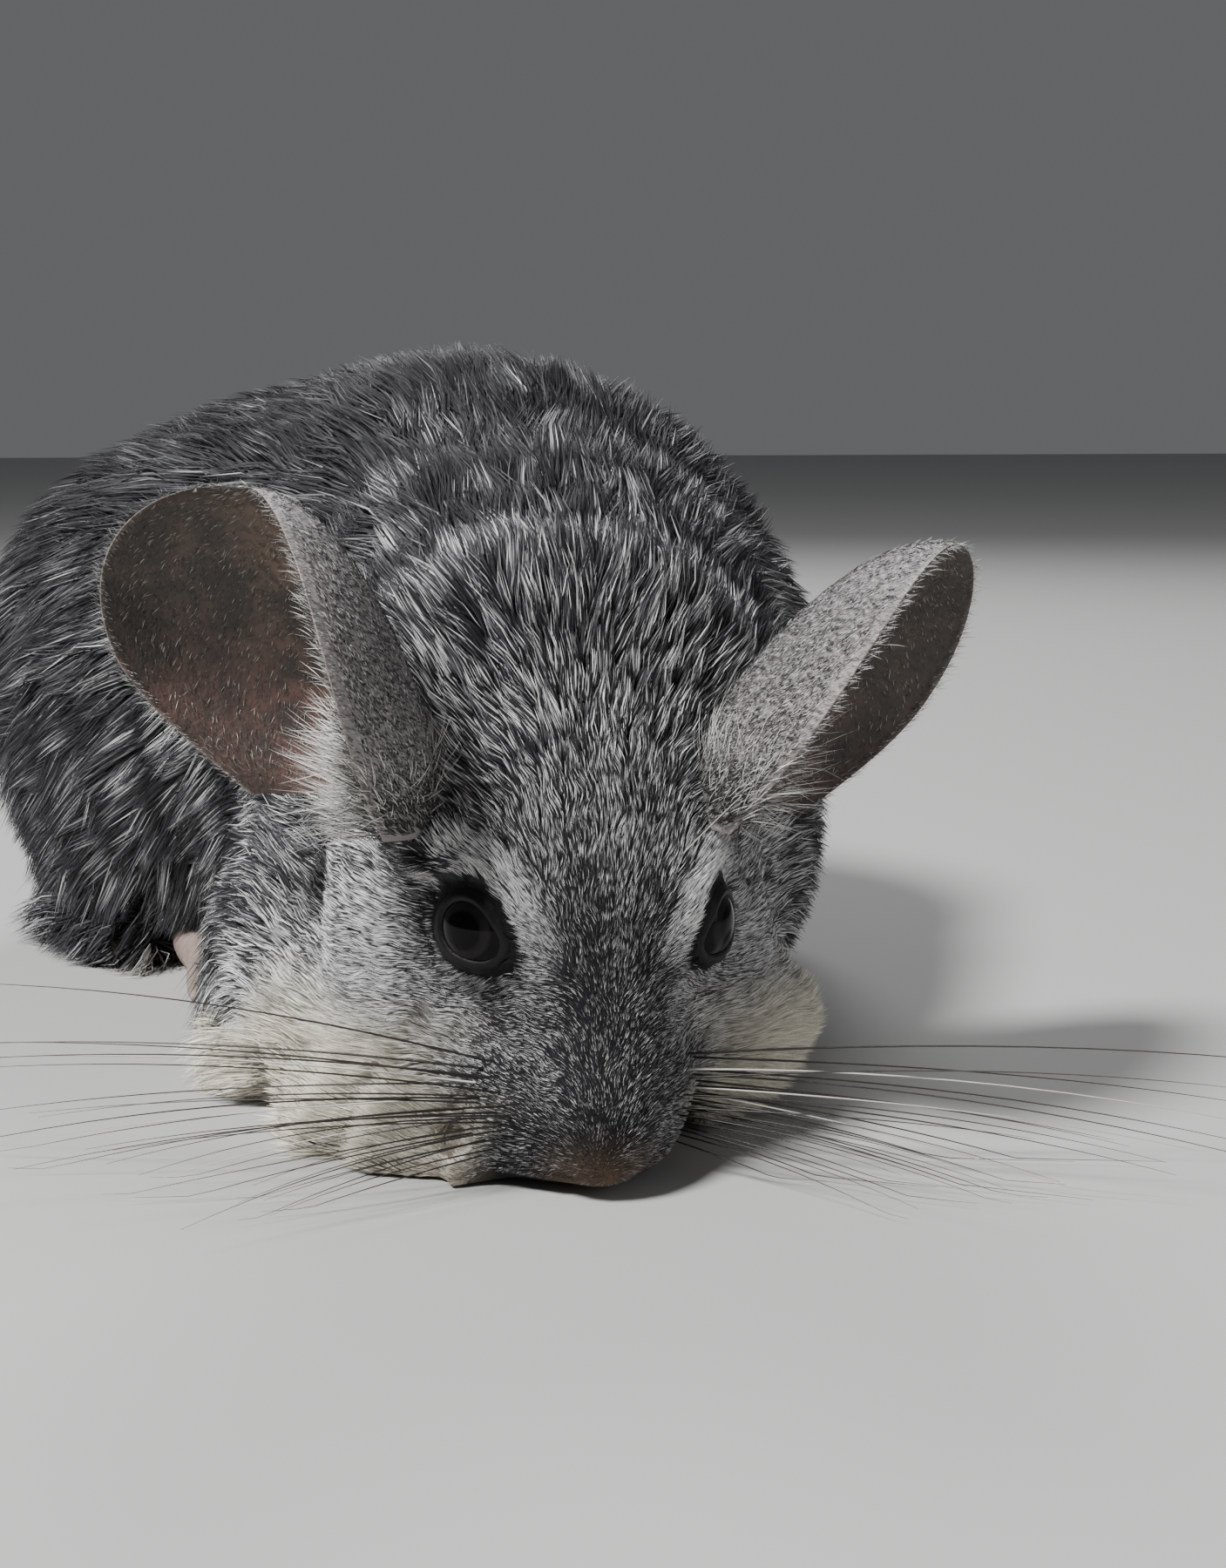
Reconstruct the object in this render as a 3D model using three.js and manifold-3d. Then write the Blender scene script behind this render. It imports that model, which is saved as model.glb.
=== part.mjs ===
// A life-size chinchilla lying at rest with its chin on the ground, as a museum model.
// Millimetres. +X is the animal's left, +Y runs to its tail, +Z is up and the floor is z = 0.

import * as THREE from "three";
import { mergeVertices } from "three/addons/utils/BufferGeometryUtils.js";
import Module from "manifold-3d";

const wasm = await Module();
wasm.setup();

// Driving sizes
const gap = 0.3;
const cutBlock = 700;
const headAt = new THREE.Vector3(6, -84, 31.2);
const headPitch = THREE.MathUtils.degToRad(54);
const headRoll = THREE.MathUtils.degToRad(2.5);
const headYaw = THREE.MathUtils.degToRad(4);
const spineSway = 15;
const spineTurn = 2;
const spineLoins = 58;
const rumpSwing = 0.0048;
const headSwing = 0.0012;
const eyeRadius = 6.2;
const lidThickness = 1.2;
const earLength = 43;
const earHalfWidth = 35.5;
const earThickness = 1.1;
const earSunk = 8;
const earBow = 21.7;
const earTipOut = 7.8;
const whiskerLength = 84;
const whiskerThickness = 0.6;
const tailBrush = 14.5;
const tailCore = 6;
const tailFlatness = 0.85;
const lockSpan = 0.2;
const lockHalfWidth = 4.6;
const lockHalfThickness = 0.75;

// The trunk's masses, out to the tips of the coat. A pair has a twin on the other side.
const trunkMasses = [
  { name: "barrel", at: [0, 18, 48], radii: [57, 56, 49], blend: 0 },
  { name: "back", at: [0, 28, 68], radii: [46, 46, 39], blend: 14 },
  { name: "rump", at: [0, 66, 50], radii: [54, 46, 53], blend: 14 },
  { name: "haunch", at: [42, 48, 33], radii: [24, 36, 36], blend: 10, pair: true },
  { name: "chest", at: [0, -34, 38], radii: [39, 38, 38], blend: 14 },
  { name: "withers", at: [0, -22, 62], radii: [38, 36, 29], blend: 14 },
  { name: "shoulder", at: [27, -28, 34], radii: [18, 25, 30], blend: 9, pair: true },
  { name: "neck", at: [0, -52, 52], radii: [32, 24, 27], blend: 12 },
  { name: "throat", at: [0, -64, 14], radii: [34, 23, 17], blend: 9 },
  { name: "spread flank", at: [-31, -22, 15], radii: [23, 40, 19], blend: 12 },
  { name: "near flank", at: [-36, 44, 54], radii: [35, 41, 40], blend: 12 },
  { name: "ruff", at: [-23, -71, 1], radii: [19, 21, 7], blend: 3 },
];

// The head's masses in its own frame: +Y to the back of the skull, +Z out of the forehead,
// with the point between the eyes at zero.
const headMasses = [
  { name: "skull", at: [0, 21, 0], radii: [25, 25, 21], blend: 0 },
  { name: "forehead", at: [0, 5, 3], radii: [15, 20, 14], blend: 7 },
  { name: "bridge", at: [0, -13, -3], radii: [10, 18, 10.5], blend: 7 },
  { name: "nose", at: [0, -25, -5.5], radii: [6.5, 7, 6.5], blend: 5 },
  { name: "upper lip", at: [5.4, -22, -9.5], radii: [6.4, 8, 6], blend: 3, pair: true },
  { name: "whisker pad", at: [8, -17, -7.5], radii: [6.5, 9, 7.5], blend: 4, pair: true },
  { name: "chin", at: [0, -17.5, -15], radii: [6.5, 7.5, 4.8], blend: 4 },
  { name: "cheek", at: [15.5, 9, -12], radii: [15, 20, 13], blend: 7, pair: true },
  { name: "jowl", at: [0, 5, -16], radii: [22, 20, 12], blend: 9 },
  { name: "brow", at: [10, 2.5, 9], radii: [5, 9, 4], blend: 5, pair: true },
  { name: "ear base", at: [21.5, 26, 6], radii: [8, 11, 9], blend: 7, pair: true },
  { name: "nape", at: [0, 38, 8], radii: [27, 16, 18], blend: 10 },
];
const headBlend = 9;

// Places on the head, in its own frame
const eyeAt = new THREE.Vector3(12.8, -1.5, 4);
const eyeGaze = new THREE.Vector3(0.76, -0.36, 0.54).normalize();
const earRoot = new THREE.Vector3(17.5, 15.3, -4.6);
const snoutCentre = new THREE.Vector3(0, -16, -7);
const muzzleAt = new THREE.Vector3(0, -27, -8.5);
const muzzleReach = 19;
const padAt = new THREE.Vector3(15.5, -18, -8);
const padReach = 9;
const headCentre = new THREE.Vector3(0, 10, -3);

// Turns and places of the head
const headTurn = new THREE.Euler(headPitch, headRoll, headYaw, "ZYX");
const headPose = new THREE.Matrix4().compose(
  headAt,
  new THREE.Quaternion().setFromEuler(headTurn),
  new THREE.Vector3(1, 1, 1),
);
const headInverse = headPose.clone().invert();
const onHead = (local) => local.clone().applyMatrix4(headPose);
const alongHead = (local) => local.clone().transformDirection(headPose);
const mirrored = (point, side) => new THREE.Vector3(point.x * side, point.y, point.z);

// The spine bends to the right at both ends, so a place on the trunk moves sideways by this.
// Past the loins it runs on straight.
function sway(y) {
  const swing = y > spineTurn ? rumpSwing : headSwing;
  const bent = Math.min(y, spineLoins) - spineTurn;
  const straight = Math.max(y - spineLoins, 0);
  return spineSway - swing * bent ** 2 - 2 * swing * bent * straight;
}
const onTrunk = (x, y, z) => new THREE.Vector3(x + sway(y), y, z);

// Soft form: one distance field for the whole animal

function withTwins(masses) {
  return masses.flatMap((mass) => {
    const [x, y, z] = mass.at;
    return mass.pair ? [mass, { ...mass, at: [-x, y, z] }] : [mass];
  });
}

function massDistance(point, mass) {
  const [a, b, c] = mass.radii;
  const x = (point.x - mass.at[0]) / a;
  const y = (point.y - mass.at[1]) / b;
  const z = (point.z - mass.at[2]) / c;
  const near = Math.hypot(x, y, z);
  const slope = Math.hypot(x / a, y / b, z / c);
  return slope < 1e-6 ? -Math.min(a, b, c) : (near * (near - 1)) / slope;
}

function softMin(a, b, blend) {
  const share = blend > 0 ? Math.max(blend - Math.abs(a - b), 0) / blend : 0;
  return Math.min(a, b) - (share * share * blend) / 4;
}

function massesDistance(point, masses) {
  return masses.reduce(
    (far, mass) => softMin(far, massDistance(point, mass), mass.blend),
    1e3,
  );
}

const trunk = withTwins(trunkMasses);
const head = withTwins(headMasses);

function bodyDistance(point) {
  const local = point.clone().applyMatrix4(headInverse);
  const straight = new THREE.Vector3(point.x - sway(point.y), point.y, point.z);
  return softMin(massesDistance(straight, trunk), massesDistance(local, head), headBlend);
}

// Solids

function solidOf(geometry) {
  const bare = geometry.clone();
  bare.deleteAttribute("normal");
  bare.deleteAttribute("uv");
  const merged = mergeVertices(bare, 1e-3);
  const triVerts = new Uint32Array(merged.index.array);
  const vertProperties = new Float32Array(merged.attributes.position.array);
  const made = new wasm.Manifold(new wasm.Mesh({ numProp: 3, vertProperties, triVerts }));
  if (made.volume() > 0) return made;
  // A shape that its mapping turned inside out
  for (let i = 0; i < triVerts.length; i += 3) triVerts.subarray(i, i + 2).reverse();
  return new wasm.Manifold(new wasm.Mesh({ numProp: 3, vertProperties, triVerts }));
}

function geometryOf(solid) {
  const mesh = solid.getMesh();
  const geometry = new THREE.BufferGeometry();
  geometry.setAttribute("position", new THREE.BufferAttribute(mesh.vertProperties, 3));
  geometry.setIndex(new THREE.BufferAttribute(mesh.triVerts, 1));
  return geometry;
}

function largest(solid) {
  const bodies = solid.decompose();
  bodies.sort((a, b) => b.volume() - a.volume());
  return bodies[0];
}

// The place where a ray from inside the body leaves its surface, grown by an amount
function leaving(centre, way, reach, growth = 0) {
  const point = new THREE.Vector3();
  const depthAt = (far) => bodyDistance(point.copy(centre).addScaledVector(way, far));
  let inside = 0;
  let outside = 0;
  while (outside < reach && depthAt(outside) < growth) {
    inside = outside;
    outside += Math.max(growth - depthAt(outside), 0.3);
  }
  for (let halving = 0; halving < 14; halving += 1) {
    const middle = (inside + outside) / 2;
    if (depthAt(middle) < growth) inside = middle;
    else outside = middle;
  }
  return point.copy(centre).addScaledVector(way, Math.min(outside, reach));
}

// The body's surface as seen from a point inside it
function skinFrom(centre, detail, reach, growth = 0) {
  const geometry = new THREE.IcosahedronGeometry(1, detail);
  const places = geometry.attributes.position;
  const way = new THREE.Vector3();
  for (let i = 0; i < places.count; i += 1) {
    way.fromBufferAttribute(places, i).normalize();
    const point = leaving(centre, way, reach, growth);
    places.setXYZ(i, point.x, point.y, point.z);
  }
  return solidOf(geometry);
}

// A block that fills the side of a plane that its normal points to.
function beyond(point, normal) {
  const geometry = new THREE.BoxGeometry(cutBlock, cutBlock, cutBlock);
  const turn = new THREE.Quaternion().setFromUnitVectors(
    new THREE.Vector3(0, 0, 1),
    normal.clone().normalize(),
  );
  geometry.translate(0, 0, cutBlock / 2).applyQuaternion(turn);
  geometry.translate(point.x, point.y, point.z);
  return solidOf(geometry);
}

function ellipsoid(centre, radii, growth = 0, sides = 18) {
  const geometry = new THREE.SphereGeometry(1, sides, Math.round(sides * 0.6));
  geometry.scale(...radii.map((radius) => radius + growth));
  geometry.translate(centre.x, centre.y, centre.z);
  return solidOf(geometry);
}

// A round or flat limb along a curve, closed at both ends. radii gives [across, through] at a
// share of the length, and up is the way of its thin side.
function limb(curve, radii, up, rings, sides) {
  const geometry = new THREE.SphereGeometry(1, sides, rings);
  const places = geometry.attributes.position;
  const vertex = new THREE.Vector3();
  for (let i = 0; i < places.count; i += 1) {
    vertex.fromBufferAttribute(places, i);
    const share = Math.acos(THREE.MathUtils.clamp(vertex.y, -1, 1)) / Math.PI;
    const ring = Math.hypot(vertex.x, vertex.z);
    const onAxis = curve.getPointAt(share);
    const along = curve.getTangentAt(share);
    const across = new THREE.Vector3().crossVectors(up, along).normalize();
    const through = new THREE.Vector3().crossVectors(along, across);
    const [wide, thick] = radii(share);
    const atEnd = ring < 1e-5;
    const x = atEnd ? 0 : (vertex.x / ring) * wide;
    const z = atEnd ? 0 : (vertex.z / ring) * thick;
    onAxis.addScaledVector(across, -x).addScaledVector(through, z);
    places.setXYZ(i, onAxis.x, onAxis.y, onAxis.z);
  }
  return solidOf(geometry);
}

const curveThrough = (...points) =>
  new THREE.CatmullRomCurve3(points.map((point) => new THREE.Vector3(...point)));
const upward = new THREE.Vector3(0, 0, 1);
const floorBlock = beyond(new THREE.Vector3(0, 0, 0), new THREE.Vector3(0, 0, -1));
const onFloor = (solid) => solid.subtract(floorBlock);

// The two sides of a cut through the body, with the gap between them
function cut(solid, point, normal, keepBehind) {
  const way = normal.clone().normalize();
  const half = gap / 2;
  return keepBehind
    ? solid.subtract(beyond(point.clone().addScaledVector(way, half), way.negate()))
    : solid.subtract(beyond(point.clone().addScaledVector(way, -half), way));
}

const neckFront = {
  point: new THREE.Vector3(8, -62, 52),
  normal: new THREE.Vector3(0, 0.93, 0.36),
};
const neckBack = {
  point: new THREE.Vector3(10, -42, 55),
  normal: new THREE.Vector3(0, 0.96, 0.27),
};
const rumpFront = {
  point: new THREE.Vector3(8, 52, 50),
  normal: new THREE.Vector3(-0.3, 1, 0),
};

// The parts of the trunk that are the thigh and the upper arm
const haunchPart = { at: [60, 43, 26], radii: [35, 36, 46] };
const armPart = { at: [46, -22, 22], radii: [24, 19, 36] };

// Ears: a leaf-shaped sheet rolled into a cup, open outwards and forwards

const earSides = {
  left: {
    side: 1,
    axis: new THREE.Vector3(0.128, 0.793, 0.596),
    mouth: new THREE.Vector3(0.788, -0.446, 0.424),
    rolled: 0.57,
  },
  right: {
    side: -1,
    axis: new THREE.Vector3(-0.04, 0.773, 0.633),
    mouth: new THREE.Vector3(0.904, -0.241, 0.353),
    rolled: 0.807,
  },
};

// Half the width of the sheet and how far it is rolled, at a share of its length
function earShape(share, rolled) {
  const widest = 0.55;
  const below = THREE.MathUtils.smoothstep(share, 0, widest);
  const above = Math.max(share - widest, 0) / (1 - widest);
  const halfWidth = earHalfWidth * (0.42 + 0.58 * below) * Math.sqrt(Math.max(1 - above ** 2, 0));
  return { halfWidth: halfWidth + 0.5, curl: THREE.MathUtils.lerp(2.13, 1.7, share) * rolled };
}

function ear({ side, axis, mouth, rolled }) {
  const along = alongHead(mirrored(axis, side)).normalize();
  const open = alongHead(mirrored(mouth, side));
  open.addScaledVector(along, -open.dot(along)).normalize();
  const across = new THREE.Vector3().crossVectors(along, open).multiplyScalar(side);
  const root = onHead(mirrored(earRoot, side)).addScaledVector(along, -earSunk);
  const geometry = new THREE.BoxGeometry(2, 1, 1, 10, 10, 1);
  const places = geometry.attributes.position;
  const vertex = new THREE.Vector3();
  for (let i = 0; i < places.count; i += 1) {
    vertex.fromBufferAttribute(places, i);
    const share = Math.sin(((vertex.y + 0.5) * Math.PI) / 2);
    const { halfWidth, curl } = earShape(share, rolled);
    const angle = vertex.x * curl;
    const rim = Math.abs(vertex.x) > 0.99 || share > 0.99 ? 0.6 : 1;
    const bend = halfWidth / curl;
    const radius = bend - vertex.z * earThickness * rim;
    const bow = earBow * Math.sin(share * Math.PI * 0.5) + earTipOut * share * share;
    const point = root.clone().addScaledVector(along, share * (earLength + earSunk));
    point.addScaledVector(open, bend * 0.6 - Math.cos(angle) * radius + bow);
    point.addScaledVector(across, Math.sin(angle) * radius);
    places.setXYZ(i, point.x, point.y, point.z);
  }
  return solidOf(geometry);
}

// Eyes in their sockets, with a lid all round and an opening that narrows towards the nose

function eyeball(side, growth = 0) {
  const radius = eyeRadius + growth;
  return ellipsoid(onHead(mirrored(eyeAt, side)), [radius, radius, radius], 0, 14);
}

function lidOpening(side) {
  const gaze = alongHead(mirrored(eyeGaze, side));
  const toNose = alongHead(new THREE.Vector3(0, -1, -0.45));
  toNose.addScaledVector(gaze, -toNose.dot(gaze)).normalize();
  const over = new THREE.Vector3().crossVectors(gaze, toNose);
  const [halfLong, halfHigh, corner] = [5.2, 4.5, 6.7];
  const outline = new THREE.Shape();
  outline.moveTo(corner, 0);
  outline.quadraticCurveTo(3.6, halfHigh, 0, halfHigh);
  outline.quadraticCurveTo(-halfLong, halfHigh, -halfLong, 0);
  outline.quadraticCurveTo(-halfLong, -halfHigh, 0, -halfHigh);
  outline.quadraticCurveTo(3.6, -halfHigh, corner, 0);
  const geometry = new THREE.ExtrudeGeometry(outline, {
    depth: eyeRadius * 2,
    bevelEnabled: false,
    curveSegments: 4,
  });
  geometry.applyMatrix4(new THREE.Matrix4().makeBasis(toNose, over, gaze));
  const centre = onHead(mirrored(eyeAt, side));
  geometry.translate(centre.x, centre.y, centre.z);
  return solidOf(geometry);
}

function withEyes(skull) {
  return [1, -1].reduce((made, side) => {
    const lids = eyeball(side, gap + lidThickness);
    return made.add(lids).subtract(eyeball(side, gap)).subtract(lidOpening(side));
  }, skull);
}

// Muzzle: nostrils, the cleft below them and the line of the mouth are cut into its skin

function headCurve(...points) {
  return new THREE.CatmullRomCurve3(points.map((point) => onHead(new THREE.Vector3(...point))));
}

function nostril(side) {
  const slit = headCurve(
    [1.6 * side, -33.5, -7.6],
    [2.6 * side, -31.6, -6.4],
    [4.3 * side, -29.6, -6.2],
  );
  return limb(slit, () => [0.8, 1], alongHead(new THREE.Vector3(0, 0, 1)), 5, 8);
}

function mouthLine() {
  const smile = headCurve(
    [9.5, -16.5, -15],
    [5, -22.5, -14.6],
    [0, -25.6, -14.4],
    [-5, -22.5, -14.6],
    [-9.5, -16.5, -15],
  );
  return limb(smile, () => [0.7, 1.8], alongHead(new THREE.Vector3(0, 1, 0)), 14, 6);
}

function lipCleft() {
  const fold = headCurve([0, -32.8, -8.2], [0, -31, -11.4], [0, -27.4, -14.6]);
  return limb(fold, () => [0.6, 1.6], alongHead(new THREE.Vector3(0, -1, -0.4)), 6, 6);
}

// Whiskers: tapered bristles in rows on the swollen pad at each side of the muzzle

const whiskerSides = {
  left: { side: 1, sweep: -0.62, spread: 0.5 },
  right: { side: -1, sweep: 0.16, spread: 0.55 },
};

function whisker(root, outward, reach, rise) {
  const start = root.clone().addScaledVector(outward, -2.2);
  const middle = root.clone().addScaledVector(outward, reach * 0.5);
  const tip = root.clone().addScaledVector(outward, reach * 0.97);
  middle.z += rise;
  middle.z = Math.max(middle.z, 3);
  tip.z = Math.max(tip.z + rise * 0.3, 1.5);
  const curve = new THREE.CatmullRomCurve3([start, root, middle, tip]);
  const radii = (share) => {
    const radius = (whiskerThickness / 2) * (1 - 0.6 * share);
    return [radius, radius];
  };
  return limb(curve, radii, upward, 5, 4);
}

function whiskers({ side, sweep, spread }) {
  const centre = onHead(snoutCentre);
  const all = [];
  const [rows, columns] = [4, 3];
  for (let row = 0; row < rows; row += 1) {
    for (let column = 0; column < columns; column += 1) {
      const down = row / (rows - 1);
      const back = column / (columns - 1);
      const target = new THREE.Vector3(15 * side, -24 + 4.5 * back, -3.5 - 7 * down);
      const way = onHead(target).sub(centre).normalize();
      const root = leaving(centre, way, 26).clone();
      const outward = new THREE.Vector3(side, sweep + spread * (back - 0.5), 0.04 - 0.1 * down);
      const reach = whiskerLength * (0.66 + 0.34 * back) * (1 - 0.22 * down);
      all.push(whisker(root, outward.normalize(), reach, 9 - 7 * down));
    }
  }
  return all;
}

// Paws: a pad with toes fused to it, flat on the floor

function paw({ wrist, toes, width, height, spread, count, toeLength, toeWidth }) {
  const start = onTrunk(...wrist);
  const end = onTrunk(...toes);
  const along = end.clone().sub(start);
  const length = along.length();
  along.normalize();
  const across = new THREE.Vector3().crossVectors(along, upward).normalize();
  const palmEnd = start.clone().addScaledVector(along, length - toeLength);
  palmEnd.z = height * 0.8;
  const palm = new THREE.CatmullRomCurve3([start, start.clone().lerp(palmEnd, 0.5), palmEnd]);
  let made = limb(
    palm,
    (share) => [
      width * (0.8 + 0.2 * share) * Math.sin(Math.PI * (0.16 + 0.7 * share)),
      height * (1.1 - 0.2 * share) * Math.sin(Math.PI * (0.16 + 0.7 * share)),
    ],
    upward,
    6,
    8,
  );
  for (let toe = 0; toe < count; toe += 1) {
    const fan = count > 1 ? (toe / (count - 1)) * 2 - 1 : 0;
    const reach = toeLength * (1 - 0.18 * fan * fan);
    const knuckle = palmEnd.clone().addScaledVector(across, fan * width * 0.48);
    knuckle.addScaledVector(along, -toeLength * 0.45);
    const way = along.clone().addScaledVector(across, fan * spread).normalize();
    const joint = knuckle.clone().addScaledVector(way, reach * 0.85);
    const tip = knuckle.clone().addScaledVector(way, reach * 1.45);
    joint.z = toeWidth * 1.3;
    tip.z = toeWidth * 0.7;
    const curve = new THREE.CatmullRomCurve3([knuckle, joint, tip]);
    const radii = (share) => {
      const radius = toeWidth * (1 - 0.25 * share);
      return [radius, radius];
    };
    made = made.add(limb(curve, radii, upward, 4, 5));
  }
  return made;
}

// The room in the coat that a paw lies in
function pawRoom({ wrist, toes, width, height, spread, toeLength, toeWidth }) {
  const start = onTrunk(...wrist);
  const end = onTrunk(...toes);
  const along = end.clone().sub(start).normalize();
  start.addScaledVector(along, -1);
  end.addScaledVector(along, toeLength * 0.25 + gap);
  end.z = height * 0.5;
  const fan = width * 0.62 + toeLength * spread + toeWidth;
  const radii = (share) => {
    const cap = Math.pow(Math.sin(Math.PI * (0.1 + 0.82 * share)), 0.35);
    const wide = THREE.MathUtils.lerp(width, fan, Math.min(share * 1.4, 1));
    return [(wide + gap * 2) * cap, (height * 1.16 + gap) * cap];
  };
  const line = new THREE.CatmullRomCurve3([start, start.clone().lerp(end, 0.5), end]);
  return limb(line, radii, upward, 7, 8);
}

const handShape = (side) => ({
  wrist: [12 * side, -64, 5],
  toes: [12 * side - 5, -82, 1.5],
  width: 5,
  height: 4,
  spread: 0.3,
  count: 4,
  toeLength: 9,
  toeWidth: 1.8,
});

const footShape = (side) => ({
  wrist: [40 * side, 48, 6],
  toes: [44 * side, -6, 2],
  width: 7,
  height: 5.5,
  spread: 0.18,
  count: 3,
  toeLength: 18,
  toeWidth: 2.8,
});

// Tail: one bushy brush laid round behind the animal, parted into three lengths

const tailCurve = curveThrough(
  [-24, 96, 27],
  [-21, 117, 19],
  [-4, 132, 13.5],
  [22, 136, 12],
  [50, 128, 12],
  [71, 110, 12],
  [83, 88, 11.5],
);
const tailNames = ["tail_root", "tail_middle", "tail_tip"];

// How far the tips of the coat stand from the tail's middle line
function brushRadius(share) {
  const swell = Math.sin(Math.PI * Math.min(0.22 + share * 0.76, 1));
  return tailBrush * Math.pow(Math.max(swell, 0), 0.6);
}

// A place in the brush at a share of its length, an angle round it and a distance from its line
function inBrush(share, angle, radius) {
  const along = tailCurve.getTangentAt(share);
  const across = new THREE.Vector3().crossVectors(upward, along).normalize();
  const through = new THREE.Vector3().crossVectors(along, across);
  const place = tailCurve.getPointAt(share);
  place.addScaledVector(across, Math.cos(angle) * radius);
  return place.addScaledVector(through, Math.sin(angle) * radius * tailFlatness);
}

// A flat lock that is rooted in the core and bends from it to lie along the tail
function tailLock(root, angle, size) {
  const steps = [0, 0.3, 0.65, 1];
  const points = steps.map((step) => {
    const share = root + lockSpan * size * step;
    const reach = THREE.MathUtils.lerp(tailCore * 0.4, brushRadius(share), Math.pow(step, 0.75));
    return inBrush(share, angle, reach);
  });
  const outward = inBrush(root, angle, tailBrush).sub(inBrush(root, angle, 0)).normalize();
  const radii = (share) => {
    const taper = Math.sqrt(Math.sin(Math.PI * share)) * (1 - 0.35 * share) * size;
    return [lockHalfWidth * taper, lockHalfThickness * taper];
  };
  return limb(new THREE.CatmullRomCurve3(points), radii, outward, 4, 4);
}

// Seeded numbers between 0 and 1
function seeded(seed) {
  let state = seed;
  return () => {
    state = (state * 16807) % 2147483647;
    return state / 2147483647;
  };
}

const tailRings = 9;
const locksInRing = 6;
const firstRing = 0.1;
const lastRing = 0.79;
const coreEnd = 0.84;
const ringAt = (ring) => firstRing + ((lastRing - firstRing) * ring) / (tailRings - 1);
const tailJoints = [0, ringAt(3) - 0.01, ringAt(6) - 0.01, 1];

function tailCoreShape() {
  const line = new THREE.CatmullRomCurve3(
    Array.from({ length: 12 }, (_, step) => tailCurve.getPointAt((coreEnd * step) / 11)),
  );
  const radii = (share) => {
    const radius = tailCore * Math.pow(Math.sin(Math.PI * (0.3 + 0.68 * share)), 0.5);
    return [radius, radius * tailFlatness];
  };
  return limb(line, radii, upward, 14, 8);
}

// One length of the tail: its part of the core and the locks that are rooted in it
function tailLength(core, from, to) {
  let made = core;
  if (from > 0) made = cut(made, tailCurve.getPointAt(from), tailCurve.getTangentAt(from), true);
  if (to < 1) made = cut(made, tailCurve.getPointAt(to), tailCurve.getTangentAt(to), false);
  const draw = seeded(41);
  for (let ring = 0; ring < tailRings; ring += 1) {
    const share = ringAt(ring);
    for (let index = 0; index < locksInRing; index += 1) {
      const turn = (index + (ring % 2) / 2 + 0.16 * (draw() - 0.5)) / locksInRing;
      const size = 0.9 + 0.14 * draw();
      if (share > from && share < to) made = made.add(tailLock(share, turn * Math.PI * 2, size));
    }
  }
  return made;
}

// The animal, node by node

const colours = {
  fur: "#8b8d92",
  skin: "#8a6a5c",
  eye: "#0d0c0e",
};
const finishes = Object.fromEntries(
  Object.entries(colours).map(([name, color]) => [
    name,
    new THREE.MeshStandardMaterial({ color, roughness: name === "eye" ? 0.1 : 0.9, metalness: 0 }),
  ]),
);

const animal = new THREE.Group();

function place(name, solid, finish) {
  const mesh = new THREE.Mesh(geometryOf(largest(solid)), finishes[finish]);
  mesh.name = name;
  animal.add(mesh);
}

const sides = { left: 1, right: -1 };
const bothSides = Object.values(sides);
const without = (solid, taken) => taken.reduce((made, one) => made.subtract(one), solid);

// How fine each skin is, and how far it is looked for from its middle
const bodyDetail = 9;
const neckDetail = 7;
const headDetail = 8;
const snoutDetail = 6;
const bodyReach = 130;
const neckReach = 80;
const headReach = 60;
const snoutReach = 30;
const pawRooms = bothSides.flatMap((side) => [pawRoom(handShape(side)), pawRoom(footShape(side))]);
const bodyCentre = onTrunk(0, 22, 46);
const neckCentre = onTrunk(-2, -52, 46);
const bodySkin = without(onFloor(skinFrom(bodyCentre, bodyDetail, bodyReach)), pawRooms);
const region = ({ at: [x, y, z], radii }, side, growth) =>
  ellipsoid(onTrunk(x * side, y, z), radii, growth);
const haunchRegion = (side, growth) => region(haunchPart, side, growth);
const armRegion = (side, growth) => region(armPart, side, growth);
const limbRooms = bothSides.flatMap((side) => [haunchRegion(side, gap), armRegion(side, gap)]);

const rump = cut(bodySkin, rumpFront.point, rumpFront.normal, true);
const trunkFront = cut(bodySkin, rumpFront.point, rumpFront.normal, false);
const torso = cut(trunkFront, neckBack.point, neckBack.normal, true);
place("rump", without(rump, limbRooms), "fur");
place("torso", without(torso, limbRooms), "fur");

const neckSkin = without(onFloor(skinFrom(neckCentre, neckDetail, neckReach)), pawRooms);
const neckSlab = cut(neckSkin, neckFront.point, neckFront.normal, true);
place("neck", cut(neckSlab, neckBack.point, neckBack.normal, false), "fur");

for (const [name, side] of Object.entries(sides)) {
  place(`thigh_${name}`, bodySkin.intersect(haunchRegion(side, 0)), "fur");
  const arm = bodySkin.intersect(armRegion(side, 0));
  place(`arm_${name}`, cut(arm, neckBack.point, neckBack.normal, true), "fur");
  place(`hand_${name}`, onFloor(paw(handShape(side))), "skin");
  place(`foot_${name}`, onFloor(paw(footShape(side))), "skin");
}

// Head with its ears, eyes and muzzle
const muzzleRegion = (growth) => {
  const radius = muzzleReach + growth;
  return ellipsoid(onHead(muzzleAt), [radius, radius, radius]);
};
const padRegion = (side, growth) => {
  const radius = padReach + growth;
  return ellipsoid(onHead(mirrored(padAt, side)), [radius, radius, radius], 0, 14);
};
const padRooms = bothSides.map((side) => padRegion(side, gap));
const headSkin = without(onFloor(skinFrom(onHead(headCentre), headDetail, headReach)), pawRooms);
const skull = cut(headSkin, neckFront.point, neckFront.normal, false);
place("head", withEyes(skull.subtract(muzzleRegion(gap))), "fur");

const snoutSkin = onFloor(skinFrom(onHead(snoutCentre), snoutDetail, snoutReach));
const snout = snoutSkin.intersect(muzzleRegion(0));
const snoutCuts = [nostril(1), nostril(-1), mouthLine(), lipCleft(), ...padRooms];
place("muzzle", without(snout, [...snoutCuts, ...pawRooms]), "fur");

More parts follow.
